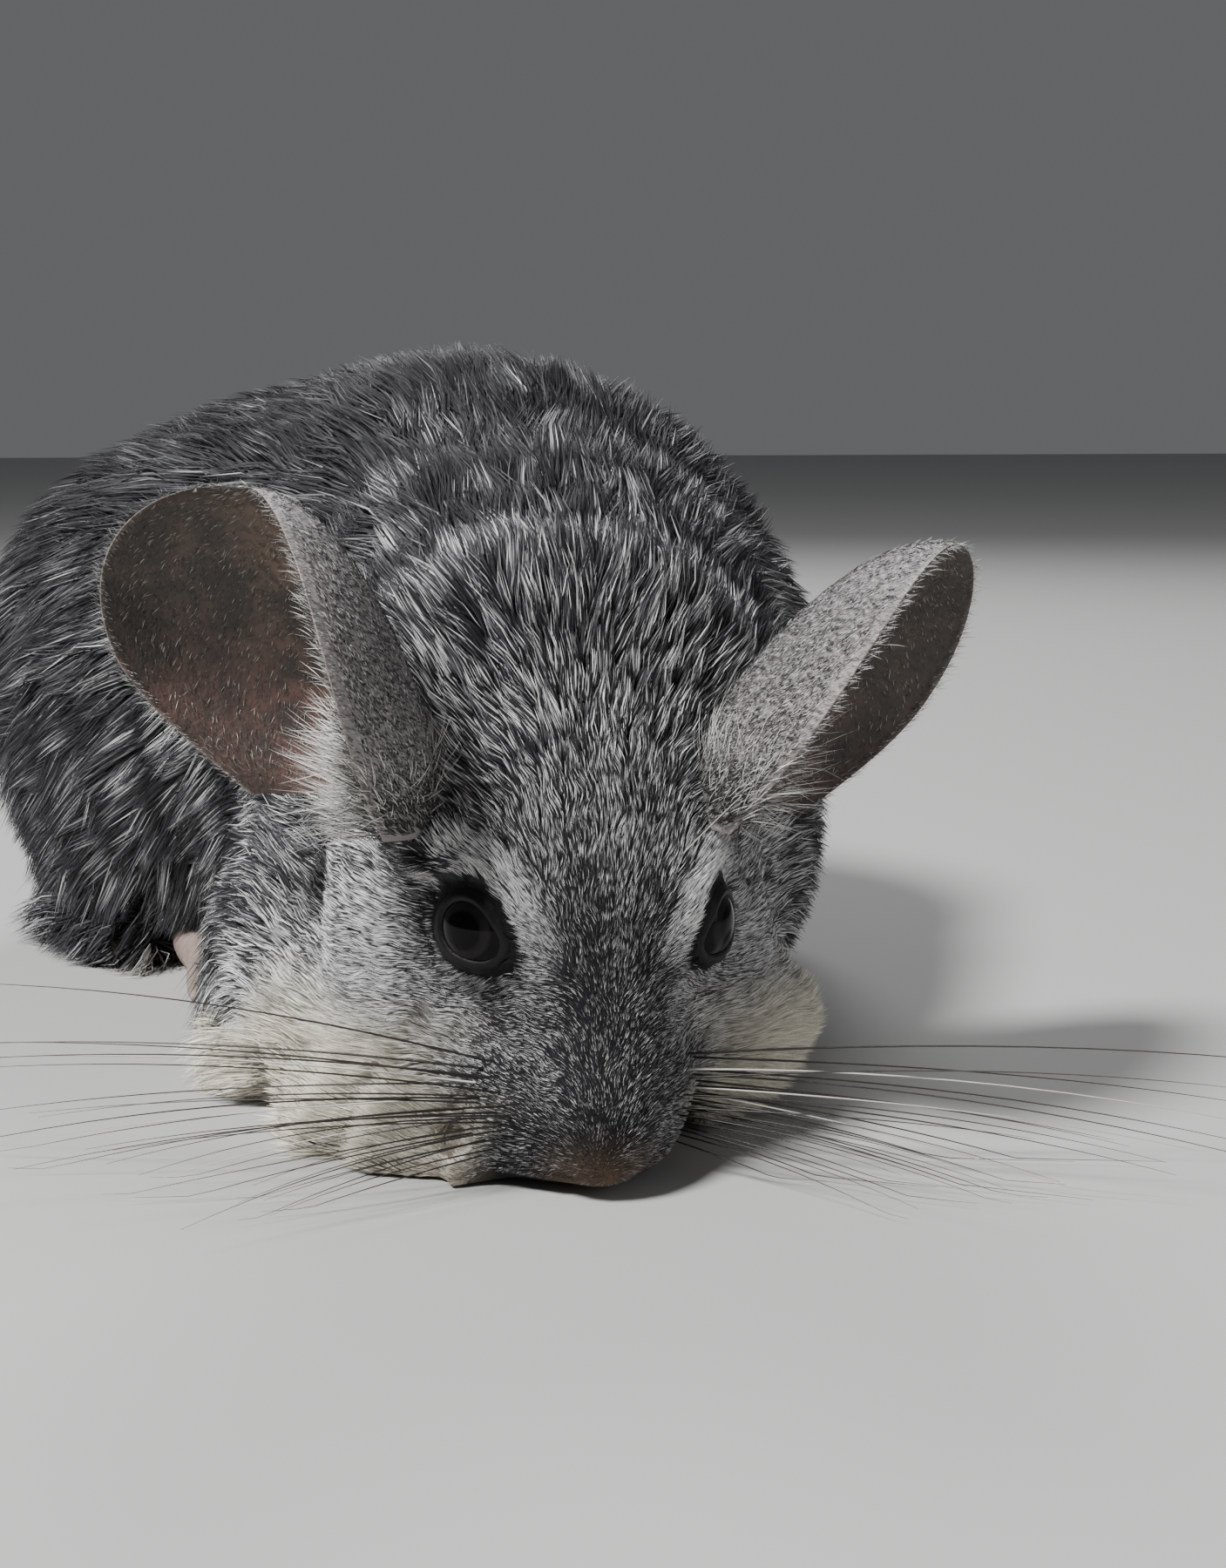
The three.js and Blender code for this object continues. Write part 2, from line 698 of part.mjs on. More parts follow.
const headRoom = skinFrom(onHead(headCentre), headDetail, headReach, gap);
for (const [name, side] of Object.entries(sides)) {
  place(`ear_${name}`, ear(earSides[name]).subtract(headRoom), "skin");
  place(`eye_${name}`, eyeball(side), "eye");
  const pad = without(snout.intersect(padRegion(side, 0)), [mouthLine(), ...pawRooms]);
  const bristled = whiskers(whiskerSides[name]).reduce((made, one) => made.add(one), pad);
  place(`whisker_pad_${name}`, bristled, "fur");
}

// Tail
const wholeCore = tailCoreShape();
const bodyRoom = skinFrom(bodyCentre, bodyDetail, bodyReach, gap);
tailNames.forEach((name, index) => {
  const length = tailLength(wholeCore, tailJoints[index], tailJoints[index + 1]);
  place(name, onFloor(length).subtract(bodyRoom), "fur");
});

// The origin goes under the middle of the whole animal, on the floor
const box = new THREE.Box3().setFromObject(animal);
const middle = box.getCenter(new THREE.Vector3());
animal.position.set(-middle.x, -middle.y, -box.min.z);

export default animal;
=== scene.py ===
import math

import bmesh
import bpy
import numpy as np
from mathutils import Matrix, Vector


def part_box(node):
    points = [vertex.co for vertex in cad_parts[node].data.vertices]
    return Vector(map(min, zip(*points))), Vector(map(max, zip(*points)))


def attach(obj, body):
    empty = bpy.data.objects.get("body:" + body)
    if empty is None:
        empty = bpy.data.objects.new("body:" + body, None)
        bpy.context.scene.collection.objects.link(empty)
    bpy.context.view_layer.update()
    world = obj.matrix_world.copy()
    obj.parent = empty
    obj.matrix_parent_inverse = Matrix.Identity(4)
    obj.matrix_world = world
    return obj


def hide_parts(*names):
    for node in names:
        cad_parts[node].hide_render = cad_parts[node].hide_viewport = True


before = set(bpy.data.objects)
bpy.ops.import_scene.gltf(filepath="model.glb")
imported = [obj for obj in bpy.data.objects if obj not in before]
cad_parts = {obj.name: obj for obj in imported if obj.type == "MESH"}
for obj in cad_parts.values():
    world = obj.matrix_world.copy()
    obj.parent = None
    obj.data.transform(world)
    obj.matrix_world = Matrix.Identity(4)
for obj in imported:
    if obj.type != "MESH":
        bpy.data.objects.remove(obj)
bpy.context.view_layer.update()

mm = 0.001

# The head's place in the solids' own sizes, in millimetres
headPose = {
    "at": (6.0, -84.0, 31.2), "xTurn": 54.0, "yTurn": 2.5, "zTurn": 4.0, "eyeAt": (12.8, -1.5, 4.0),
    "eyeGaze": (0.76, -0.36, 0.54), "eyeCorner": (-0.75, -0.7, 0.05), "noseTip": (0.0, -31.5, -6.5),
}
sideSign = {"left": 1.0, "right": -1.0}


def boxMiddle(node):
    low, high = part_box(node)
    return (low + high) / 2


turns = [Matrix.Rotation(math.radians(headPose[key]), 3, key[0].upper()) for key in ("zTurn", "yTurn", "xTurn")]
headTurn = np.array(turns[0] @ turns[1] @ turns[2])
headAt = np.array(headPose["at"])
betweenEyes = np.array((boxMiddle("eye_left") + boxMiddle("eye_right")) / 2)
eyeMiddle = headTurn @ np.array((0, headPose["eyeAt"][1], headPose["eyeAt"][2]))
shift = betweenEyes - (headAt + eyeMiddle) * mm  # from the solids' own place to the frame


def toFrame(points):
    return np.asarray(points) * mm + shift


def fromFrame(points):
    return (np.asarray(points) - shift) / mm


def onHead(x, y, z):
    return headAt + headTurn @ np.array((x, y, z), float)


def headLocal(points):
    return (points - headAt) @ headTurn


def mirrored(place, side):
    return np.array(place) * (sideSign[side], 1, 1)


def distance(points, place=0.0):
    return np.linalg.norm(points - place, axis=1)


def smooth(value, low, high):
    share = np.clip((value - low) / (high - low), 0, 1)
    return share * share * (3 - 2 * share)


def unit(vectors):
    return vectors / np.maximum(np.linalg.norm(vectors, axis=-1, keepdims=True), 1e-9)


# Soft noise in space: a few seeded waves of about one length
def waves(points, length, seed, count=7):
    rng = np.random.default_rng(seed)
    ways = unit(rng.normal(size=(count, 3))) * (2 * math.pi / length) * rng.uniform(0.6, 1.6, (count, 1))
    shifts = rng.uniform(0, 2 * math.pi, count)
    return np.sin(points @ ways.T + shifts).sum(1) / math.sqrt(count)


def waveVectors(points, length, seed):
    return np.stack([waves(points, length, seed + step) for step in range(3)], 1)


noseTip = onHead(*headPose["noseTip"])
eyeCentres = {side: fromFrame(np.array(boxMiddle(f"eye_{side}"))) for side in sideSign}
eyeRadius = (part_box("eye_left")[1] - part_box("eye_left")[0])[2] / 2 / mm


def gazeOf(side):
    gaze = headTurn @ mirrored(headPose["eyeGaze"], side)
    return gaze / np.linalg.norm(gaze)


# The lids' opening: two axes across the gaze, the first towards the front corner
def eyeAxes(side):
    gaze = gazeOf(side)
    corner = headTurn @ mirrored(headPose["eyeCorner"], side)
    corner = corner - gaze * (corner @ gaze)
    corner = corner / np.linalg.norm(corner)
    over = np.cross(gaze, corner)
    return gaze, corner, over * np.sign(over @ headTurn[:, 2])


# Distance from an eye, angle from its gaze in degrees, and turn from its front corner
def roundEye(points, side):
    gaze, corner, over = eyeAxes(side)
    away = points - eyeCentres[side]
    far = distance(away)
    facing = np.degrees(np.arccos(np.clip(away @ gaze / np.maximum(far, 1e-6), -1, 1)))
    return far, facing, np.arctan2(away @ over, away @ corner)


# Angles in degrees from the gaze; the section goes from the inner edge out, with its height over the ball
lids = {
    "open": 35.0, "long": 4.0, "corner": 13.0, "band": 19.0, "cornerBand": 5.0, "cornerWhole": 30.0,
    "near": (-12.0, -9.5), "fold": 0.12, "folds": 40.0, "foldFrom": (2.0, 8.0), "steps": 96,
    "section": (
        (-1.5, 0.02), (-0.7, 0.2), (0.8, 0.42), (3.5, 0.56), (7, 0.5), (11, 0.62), (15, 0.55), (19, 0.35),
        (24, 0.0), (28, -0.5),
    ),
}


def lidInner(turn):
    front = np.maximum(np.cos(turn), 0)
    return lids["open"] + lids["long"] * np.cos(turn) ** 2 + lids["corner"] * front**5


def lidOuter(turn):
    return lidInner(turn) + lids["band"] + lids["cornerBand"] * np.maximum(np.cos(turn), 0) ** 4


# The back's line sways to a side
spine = {"sway": 15.0, "turn": 2.0, "loins": 58.0, "rump": 0.0048, "head": 0.0012}


def swayAt(y):
    swing = np.where(y > spine["turn"], spine["rump"], spine["head"])
    bent = np.minimum(y, spine["loins"]) - spine["turn"]
    straight = np.maximum(y - spine["loins"], 0)
    return spine["sway"] - swing * bent**2 - 2 * swing * bent * straight


# Ears: a thin leaf rolled into a cup, across from the front rim to the rear one, along from root to tip
ear = {
    "length": 43.0, "halfWidth": 35.5, "baseWidth": 0.42, "edge": 0.5, "thickness": 0.9,
    "thinnest": 0.12, "sunk": 8.0, "bow": 21.7, "tipOut": 7.8, "curl": 2.13, "uncurl": 0.43,
    "hollow": 0.6, "root": (17.5, 15.3, -4.6),
    "left": {"axis": (0.128, 0.793, 0.596), "mouth": (0.788, -0.446, 0.424), "rolled": 0.57, "seed": 31},
    "right": {"axis": (-0.04, 0.773, 0.633), "mouth": (0.904, -0.241, 0.353), "rolled": 0.807, "seed": 32},
    "widest": 0.55, "shown": 0.24, "from": 0.22,
    "mound": {"along": 0.2, "across": (-0.7, -0.35, 0.0, 0.35, 0.7), "radius": 4.6},
    "rows": 64, "columns": 56,
}


def earPlace(side, across, along, inward):
    pose = ear[side]
    axis, mouth = (headTurn @ mirrored(pose[key], side) for key in ("axis", "mouth"))
    axis = axis / np.linalg.norm(axis)
    mouth = mouth - axis * (mouth @ axis)
    mouth = mouth / np.linalg.norm(mouth)
    aside = np.cross(axis, mouth) * sideSign[side]
    root = onHead(*mirrored(ear["root"], side)) - axis * ear["sunk"]
    below = smooth(along, 0, ear["widest"])
    above = np.maximum(along - ear["widest"], 0) / (1 - ear["widest"])
    half = ear["halfWidth"] * (ear["baseWidth"] + (1 - ear["baseWidth"]) * below)
    half = half * np.sqrt(np.maximum(1 - above**2, 0)) + ear["edge"]
    curl = (ear["curl"] - ear["uncurl"] * along) * pose["rolled"]
    angle, bend = across * curl, half / curl
    thin = ear["thinnest"]
    rim = np.sqrt(np.clip(1 - np.abs(across) ** 8, thin, 1)) * np.sqrt(np.clip(1 - along**12, thin, 1))
    radius = bend - inward * ear["thickness"] * 0.5 * rim
    bow = ear["bow"] * np.sin(along * math.pi * 0.5) + ear["tipOut"] * along**2
    out = bend * ear["hollow"] - np.cos(angle) * radius + bow
    reach = along * (ear["length"] + ear["sunk"])
    wide = np.sin(angle) * radius
    return root + reach[..., None] * axis + out[..., None] * mouth + wide[..., None] * aside


# Shader sockets that add and multiply like numbers
class Wire:
    def __init__(self, finish, socket):
        self.finish = finish
        self.socket = socket

    def __add__(self, other):
        return self.finish.add("ShaderNodeMath", {"operation": "ADD"}, {0: self, 1: other})

    def __mul__(self, other):
        return self.finish.add("ShaderNodeMath", {"operation": "MULTIPLY"}, {0: self, 1: other})


class Finish:
    def __init__(self, name, specular, coat=0.0, coatRoughness=0.1):
        self.material = bpy.data.materials.new(name)
        self.material.use_nodes = True
        self.tree = self.material.node_tree
        self.shader = self.tree.nodes["Principled BSDF"]
        self.set("Specular IOR Level", specular)
        self.set("Coat Weight", coat)
        self.set("Coat Roughness", coatRoughness)

    def fill(self, socket, value):
        if isinstance(value, Wire):
            self.tree.links.new(value.socket, socket)
        elif isinstance(value, tuple) and socket.type == "RGBA":
            socket.default_value = (*value, 1.0)
        else:
            socket.default_value = value

    def set(self, key, value):
        self.fill(self.shader.inputs[key], value)

    def add(self, kind, settings, inputs, output=0):
        node = self.tree.nodes.new(kind)
        for key, value in settings.items():
            setattr(node, key, value)
        for key, value in inputs.items():
            self.fill(node.inputs[key], value)
        return Wire(self, node.outputs[output])

    def mix(self, share, low, high):
        return self.add("ShaderNodeMix", {"data_type": "RGBA"}, {0: share, 6: low, 7: high}, output=2)

    def noise(self, scale, detail, roughness=0.5):
        place = self.add("ShaderNodeTexCoord", {}, {}, output=3)
        inputs = {"Scale": scale, "Detail": detail, "Roughness": roughness, "Vector": place}
        return self.add("ShaderNodeTexNoise", {}, inputs)

    def part(self, wire, channel):
        return self.add("ShaderNodeSeparateXYZ", {}, {0: wire}, output=channel)

    def mark(self, channel):
        return self.part(self.add("ShaderNodeAttribute", {"attribute_name": "mark"}, {}, output=1), channel)

    def uvShare(self, name, channel):
        return self.part(self.add("ShaderNodeUVMap", {"uv_map": name}, {}), channel)

    def ramp(self, share, stops):
        wire = self.add("ShaderNodeValToRGB", {}, {0: share})
        elements = wire.socket.node.color_ramp.elements
        while len(elements) < len(stops):
            elements.new(0.5)
        for element, (place, colour) in zip(elements, stops):
            element.position = place
            element.color = (*colour, 1.0)
        return wire

    def between(self, value, low, high):
        inputs = {0: value, 1: low, 2: high}
        return self.add("ShaderNodeMapRange", {"interpolation_type": "SMOOTHSTEP"}, inputs)

    def surface(self, tone, roughness, bump=None):
        self.set("Base Color", tone)
        self.set("Roughness", roughness)
        if bump:
            inputs = dict(zip(("Height", "Strength", "Distance"), bump))
            self.set("Normal", self.add("ShaderNodeBump", {}, inputs))
        return self


def newObject(name, data):
    made = bpy.data.objects.new(name, data)
    bpy.context.scene.collection.objects.link(made)
    return made


def addPiece(name, mesh, finish, replaced=()):
    mesh.name = name
    piece = newObject(name, mesh)
    mesh.materials.clear()
    mesh.materials.append(finish.material)
    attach(piece, "root")
    if replaced:
        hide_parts(*replaced)


def meshOf(shape, name):
    mesh = bpy.data.meshes.new(name)
    shape.to_mesh(mesh)
    shape.free()
    return mesh


def solidShape(node):
    shape = bmesh.new()
    shape.from_mesh(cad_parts[node].data)
    bmesh.ops.remove_doubles(shape, verts=shape.verts, dist=1e-6)
    return shape


def readAll(items, key, width, kind=float):
    values = np.empty(len(items) * width, kind)
    items.foreach_get(key, values)
    return values.reshape(-1, width)


def meshArrays(mesh):
    return fromFrame(readAll(mesh.vertices, "co", 3)), readAll(mesh.vertex_normals, "vector", 3)


def movePoints(mesh, points):
    mesh.vertices.foreach_set("co", toFrame(points).ravel())
    mesh.update()


def applied(piece):
    graph = bpy.context.evaluated_depsgraph_get()
    mesh = bpy.data.meshes.new_from_object(piece.evaluated_get(graph))
    bpy.data.objects.remove(piece)
    return mesh


def triangleMesh(name, points, corners):
    mesh = bpy.data.meshes.new(name)
    mesh.vertices.add(len(points))
    mesh.vertices.foreach_set("co", toFrame(points).ravel())
    mesh.loops.add(len(corners) * 3)
    mesh.loops.foreach_set("vertex_index", corners.ravel().astype(np.int32))
    mesh.polygons.add(len(corners))
    mesh.polygons.foreach_set("loop_start", np.arange(0, len(corners) * 3, 3, dtype=np.int32))
    mesh.polygons.foreach_set("use_smooth", np.ones(len(corners), bool))
    mesh.update(calc_edges=True)
    return mesh


# Rings of points, one ring a row, joined into a tube
def tubeMesh(name, grid):
    rows, columns = grid.shape[:2]
    row, column = np.divmod(np.arange((rows - 1) * columns), columns)
    a, b = row * columns + column, row * columns + (column + 1) % columns
    corners = np.concatenate([np.stack([a, b, b + columns], 1), np.stack([a, b + columns, a + columns], 1)])
    return triangleMesh(name, grid.reshape(-1, 3), corners)


def bakeUnwrap(mesh, angle=66.0, margin=0.002):
    piece = newObject("unwrap", mesh)
    bpy.ops.object.select_all(action="DESELECT")
    bpy.context.view_layer.objects.active = piece
    piece.select_set(True)
    mesh.uv_layers.new(name="OFBake")
    bpy.ops.object.mode_set(mode="EDIT")
    bpy.ops.mesh.select_all(action="SELECT")
    bpy.ops.uv.smart_project(angle_limit=math.radians(angle), island_margin=margin)
    bpy.ops.object.mode_set(mode="OBJECT")
    bpy.data.objects.remove(piece)


# Marks on each point, such as how light, how cream and how warm it is
def paintMarks(mesh, marks):
    colours = np.ones((len(mesh.vertices), 4), np.float32)
    colours[:, :3] = marks
    layer = mesh.attributes.new("mark", "FLOAT_COLOR", "POINT")
    layer.data.foreach_set("color", colours.ravel())


# Skin: one closed body under the coat, from the solids of flesh
skin = {
    "voxel": 1.1, "grow": 0.25, "smoothing": 6, "padAt": (15.5, -18.0, -8.0),
    "padReach": 10.5, "padWidth": 15.4, "padSlope": 0.8, "depthFrom": (0, 20, 35, 50, 62, 80, 105),
    "depth": (0.8, 1.0, 1.4, 2.4, 4.0, 6.0, 7.6),
    "eyeDepth": 0.9, "restingDepth": 0.5, "behindEye": 0.4, "socketEdge": 9.0, "socketFade": 5.0,
    "socketHalf": 95.0, "socketReach": 4.0, "sunk": 0.8, "proud": 0.5, "lowest": 0.3,
}
flesh = ["torso", "rump", "neck", "head", "muzzle"]
flesh += [f"{part}_{side}" for part in ("thigh", "arm", "whisker_pad") for side in sideSign]


# The pad without its whiskers
def cutWhiskers(pad, side):
    middle = Vector(toFrame(onHead(*mirrored(skin["padAt"], side))))
    local = headLocal(fromFrame(np.array([v.co for v in pad.verts])))
    slope = skin["padSlope"] * np.maximum(local[:, 1] - skin["padAt"][1], 0)
    outside = np.abs(local[:, 0]) > skin["padWidth"] + slope
    away = np.array([(v.co - middle).length for v in pad.verts]) > skin["padReach"] * mm
    far = [v for v, gone in zip(pad.verts, outside | away) if gone]
    bmesh.ops.delete(pad, geom=far, context="VERTS")
    bmesh.ops.holes_fill(pad, edges=pad.edges, sides=0)
    bmesh.ops.triangulate(pad, faces=pad.faces)


def addBall(shape, place, radius):
    middle = Matrix.Translation(Vector(toFrame(place)))
    bmesh.ops.create_icosphere(shape, subdivisions=3, radius=radius * mm, matrix=middle)


# The flesh's shells, with balls in the sockets and mounds round the ears' roots
def joinedFlesh():
    joined = bmesh.new()
    for name in flesh:
        part = solidShape(name)
        if name.startswith("whisker_pad"):
            cutWhiskers(part, name.split("_")[-1])
        part.normal_update()
        for vert in part.verts:
            vert.co += vert.normal * skin["grow"] * mm
        mesh = meshOf(part, "part")
        joined.from_mesh(mesh)
        bpy.data.meshes.remove(mesh)
    for side in sideSign:
        addBall(joined, eyeCentres[side], eyeRadius + skin["behindEye"])
    mound = ear["mound"]
    across = np.array(mound["across"])
    for side in sideSign:
        leaf = earPlace(side, across, np.full(len(across), mound["along"]), np.zeros(len(across)))
        for place in np.concatenate([leaf, (leaf + leaf.mean(0)) / 2]):
            addBall(joined, place, mound["radius"])
    return meshOf(joined, "flesh")


def remeshed(mesh):
    piece = newObject("remesh", mesh)
    remesh = piece.modifiers.new("voxel", "REMESH")
    remesh.mode = "VOXEL"
    remesh.voxel_size = skin["voxel"] * mm
    soften = piece.modifiers.new("soften", "SMOOTH")
    soften.factor = 0.5
    soften.iterations = skin["smoothing"]
    return applied(piece)


# The skin lies under the solids' surface, to make room for the coat
def coatDepth(points, normals):
    depth = np.interp(distance(points, noseTip), skin["depthFrom"], skin["depth"])
    for side in sideSign:
        near = smooth(-roundEye(points, side)[0], -16, -9)
        depth = depth * (1 - near) + skin["eyeDepth"] * near
    resting = smooth(-normals[:, 2], 0.3, 0.8) * smooth(-points[:, 2], -9, -3)
    return depth * (1 - resting) + skin["restingDepth"] * resting


# How far inside the dark lids a place is: 1 inside, 0 some degrees outside
def eyeMask(points, beyond, fade):
    mask = np.zeros(len(points))
    for side in sideSign:
        far, facing, turn = roundEye(points, side)
        near = smooth(-far, *lids["near"])
        mask = np.maximum(mask, near * smooth(lidOuter(turn) + beyond - facing, 0, fade))
    return mask


# Grooves: places near a curve on the head are pushed in
def groove(points, normals, curve, width, depth):
    line = np.array([onHead(*place) for place in curve])
    nearest = np.full(len(points), 1e3)
    for start, end in zip(line[:-1], line[1:]):
        along = end - start
        share = np.clip((points - start) @ along / (along @ along), 0, 1)
        nearest = np.minimum(nearest, distance(points - start, share[:, None] * along))
    return points - normals * (depth * np.exp(-((nearest / width) ** 2)))[:, None]


nostril = ((1.3, -34.5, -8.6), (2.2, -33.0, -6.9), (3.6, -31.4, -6.2), (4.9, -29.6, -6.6))
snout = {
    "reaches": (13.0, 10.4),
    "grooves": (
        {"curve": nostril, "width": 0.55, "depth": 1.6},
        {"curve": [mirrored(place, "right") for place in nostril], "width": 0.55, "depth": 1.6},
        {"curve": ((0, -34.5, -8.6), (0, -33, -11.4), (0, -28.4, -14.8)), "width": 0.5, "depth": 0.9},
        {
            "curve": (
                (-9.5, -16.5, -15), (-5, -22.5, -14.8), (0, -26.4, -14.6),
                (5, -22.5, -14.8), (9.5, -16.5, -15),
            ),
            "width": 0.6,
            "depth": 1.5,
        },
    ),
}


def refineSnout(mesh):
    shape = bmesh.new()
    shape.from_mesh(mesh)
    middle = Vector(toFrame(noseTip))
    for reach in snout["reaches"]:
        near = [e for e in shape.edges if (e.verts[0].co - middle).length < reach * mm]
        bmesh.ops.subdivide_edges(shape, edges=near, cuts=1, use_grid_fill=True, smooth=0.5)
    bmesh.ops.triangulate(shape, faces=[f for f in shape.faces if len(f.verts) > 4])
    shape.to_mesh(mesh)
    shape.free()


def shapeSkin(mesh):
    points, normals = meshArrays(mesh)
    points = points - normals * coatDepth(points, normals)[:, None]
    for side, centre in eyeCentres.items():
        away = points - centre
        far, facing, turn = roundEye(points, side)
        opening = smooth(lidInner(turn) + skin["socketEdge"] - facing, 0, skin["socketFade"])
        sunk = np.minimum(far, eyeRadius - skin["sunk"])
        proud = np.maximum(far, eyeRadius + skin["proud"])
        wanted = np.where(facing < skin["socketHalf"], opening * sunk + (1 - opening) * proud, far)
        near = far < eyeRadius + skin["socketReach"]
        points = np.where(near[:, None], centre + away / far[:, None] * wanted[:, None], points)
    movePoints(mesh, points)
    refineSnout(mesh)
    points, normals = meshArrays(mesh)
    for cut in snout["grooves"]:
        points = groove(points, normals, **cut)
    points[:, 2] = np.maximum(points[:, 2], skin["lowest"])
    movePoints(mesh, points)


skinMesh = remeshed(joinedFlesh())
shapeSkin(skinMesh)
print("skin", len(skinMesh.polygons), "faces")
bakeUnwrap(skinMesh)
print("skin unwrapped")


# Markings, the same on the skin and on the coat: what each adds to the lightness or the warmth
markTones = {
    "base": 0.29, "cheek": 0.28, "crown": 0.02, "temple": -0.1, "bridge": -0.13, "bands": 0.2,
    "back": -0.17, "patches": 0.1, "headPatches": -0.03, "parting": -0.34, "flecks": 0.05,
    "spots": -0.14, "brow": 0.6, "socket": -0.5, "snoutEnd": 0.75,
}
templeAt = (19.0, 12.0, 4.0)


def markings(points):
    tones, local, far = markTones, headLocal(points), distance(points, noseTip)
    headward = smooth(-far, -86, -62)
    x, y, z = np.abs(local[:, 0]), local[:, 1], local[:, 2]
    # Cheeks paler below the eyes, the bridge of the nose and the temples darker
    cheek = smooth(x, 8, 15) * smooth(y, -20, -12) * smooth(-y, -24, -10) * smooth(-z, -3, 3)
    crown = smooth(y, 6, 20) * smooth(z, 4, 12)
    bridge = smooth(-x, -11, -5) * smooth(-y, -8, 6) * smooth(z, -9, -4) * (1 - 0.5 * crown)
    temple = np.exp(-((distance(np.stack([x, y, z], 1), templeAt) / 8) ** 2))
    lift = tones["cheek"] * cheek + tones["crown"] * crown + tones["temple"] * temple
    light = tones["base"] + headward * (lift + tones["bridge"] * bridge)
    # Bands across the neck and shoulders, where the coat parts
    neckward = smooth(far, 66, 84) * smooth(-far, -150, -120) * smooth(points[:, 2], 10, 30)
    swing = points[:, 1] + 0.25 * np.abs(points[:, 0] - swayAt(points[:, 1]))
    light = light + tones["bands"] * neckward * np.sin(swing / 2.1 + 1.3 * waves(points, 30, 8))
    # Back darker towards the top, soft patches all over, dark lines on the cheeks and spots on the head
    light = light + tones["back"] * smooth(points[:, 2], 45, 95) * (1 - headward)
    patches = waves(points * (1, 0.55, 0.85), 13, 3)
    light = light + (tones["patches"] + tones["headPatches"] * headward) * patches
    parting = smooth(-np.abs(waves(points * (1, 0.8, 1.5), 16, 15)), -0.16, 0)
    light = light + tones["parting"] * headward * smooth(x, 7, 13) * smooth(-z, -8, 0) * parting
    spots = headward * smooth(waves(points * (1.6, 0.7, 1), 9, 9), 0.9, 1.7)
    light = light + tones["flecks"] * waves(points, 4, 4) + tones["spots"] * spots
    # A pale arc over each eye, and dark right round it
    for side in sideSign:
        away, facing, turn = roundEye(points, side)
        beyond, near = facing - lidOuter(turn), smooth(-away, -13, -11)
        arc = smooth(np.sin(turn - 0.1), -0.1, 0.3) * smooth(beyond, -3, 1) * smooth(-beyond, -25, -14)
        light = light + near * (tones["brow"] * arc + tones["socket"] * smooth(-beyond, 1, 5))
    creamTop = 14 - 8 * smooth(far, 70, 100)
    cream = smooth(creamTop - points[:, 2], 0, 7) * smooth(far, 12, 20)
    throat = smooth(-points[:, 2], -24, -12) * smooth(-far, -64, -46) * smooth(far, 20, 30) * smooth(x, 6, 14)
    warm = tones["snoutEnd"] * smooth(-far, -10, -3)
    return np.stack([np.clip(light, 0, 1), np.clip(cream + throat, 0, 1), warm], 1)


# Undercoat colours under the coat, partly painted shade: dark and slate are the fur's slate base made darker
# still, as painted shade deep between the tufts. Cream is the pale coat darkened into painted shade in the gaps
# between its tufts. Warm is the muzzle's own brown
skinColours = {
    "dark": (0.006, 0.006, 0.007), "slate": (0.035, 0.036, 0.04), "cream": (0.16, 0.14, 0.11),
    "warm": (0.15, 0.1, 0.065),
}


def skinFinish():
    finish = Finish("undercoat", specular=0.2)
    grain = finish.noise(900.0, 4.0)
    share = finish.between(finish.mark(0) + grain * 0.5, 0.5, 1.1)
    # Darker where the marks are darker: the slate base, deepened with painted shade between the tufts
    tone = finish.mix(share, skinColours["dark"], skinColours["slate"])
    # Under the pale coat the skin is a darkened cream: painted shade in the gaps between the pale tufts
    tone = finish.mix(finish.mark(1), tone, skinColours["cream"])
    tone = finish.mix(finish.mark(2) * 0.8, tone, skinColours["warm"])
    return finish.surface(tone, 0.85, (grain, 0.6, 0.0006))


paintMarks(skinMesh, markings(meshArrays(skinMesh)[0]))
skinMaterial = skinFinish()
addPiece("skin", skinMesh, skinMaterial, flesh)
print("skin finished")


# Coat: flat tapered tufts that lie along the body. The ranges say where on the lightness a colour sets in
# The tufts darken towards their roots as painted shade deep in the coat. Grey tufts darken over the fur's real
# slate base, made darker still. Pale tufts darken to a dimmed cream root
coatColours = {
    "root": (0.006, 0.006, 0.007), "dark": (0.016, 0.016, 0.018), "slate": (0.1, 0.102, 0.11),
    "tip": (0.88, 0.875, 0.865), "creamRootPaintedShade": (0.16, 0.14, 0.11), "creamShade": (0.52, 0.48, 0.4),
    "creamTip": (0.86, 0.82, 0.7), "warm": (0.12, 0.078, 0.055), "greyRange": (0.12, 0.6),
    "tipRange": (0.3, 0.95), "creamRange": (0.1, 0.7), "riseRange": (0.2, 0.7),
}


def coatFinish():
    finish, colours = Finish("coat", specular=0.3), coatColours
    along, light = finish.uvShare("lie", 1), finish.mark(0)
    # Grey tufts: near black at the root, the slate base deepened with painted shade
    dark = finish.mix(along, colours["root"], colours["dark"])
    rise = finish.between(along, *colours["riseRange"])
    pale = finish.mix(finish.between(light, *colours["tipRange"]), colours["slate"], colours["tip"])
    grey = finish.mix(rise * finish.between(light, *colours["greyRange"]), dark, pale)
    creamy = finish.between(light, *colours["creamRange"])
    creamy = finish.mix(creamy, colours["creamShade"], colours["creamTip"])
    # Pale tufts: a darkened cream at the root, painted shade between the tufts
    milk = finish.mix(rise, colours["creamRootPaintedShade"], creamy)
    tone = finish.mix(finish.mark(1), grey, milk)
    tone = finish.mix(finish.mark(2) * 0.75, tone, colours["warm"])
    return finish.surface(tone, 0.55)


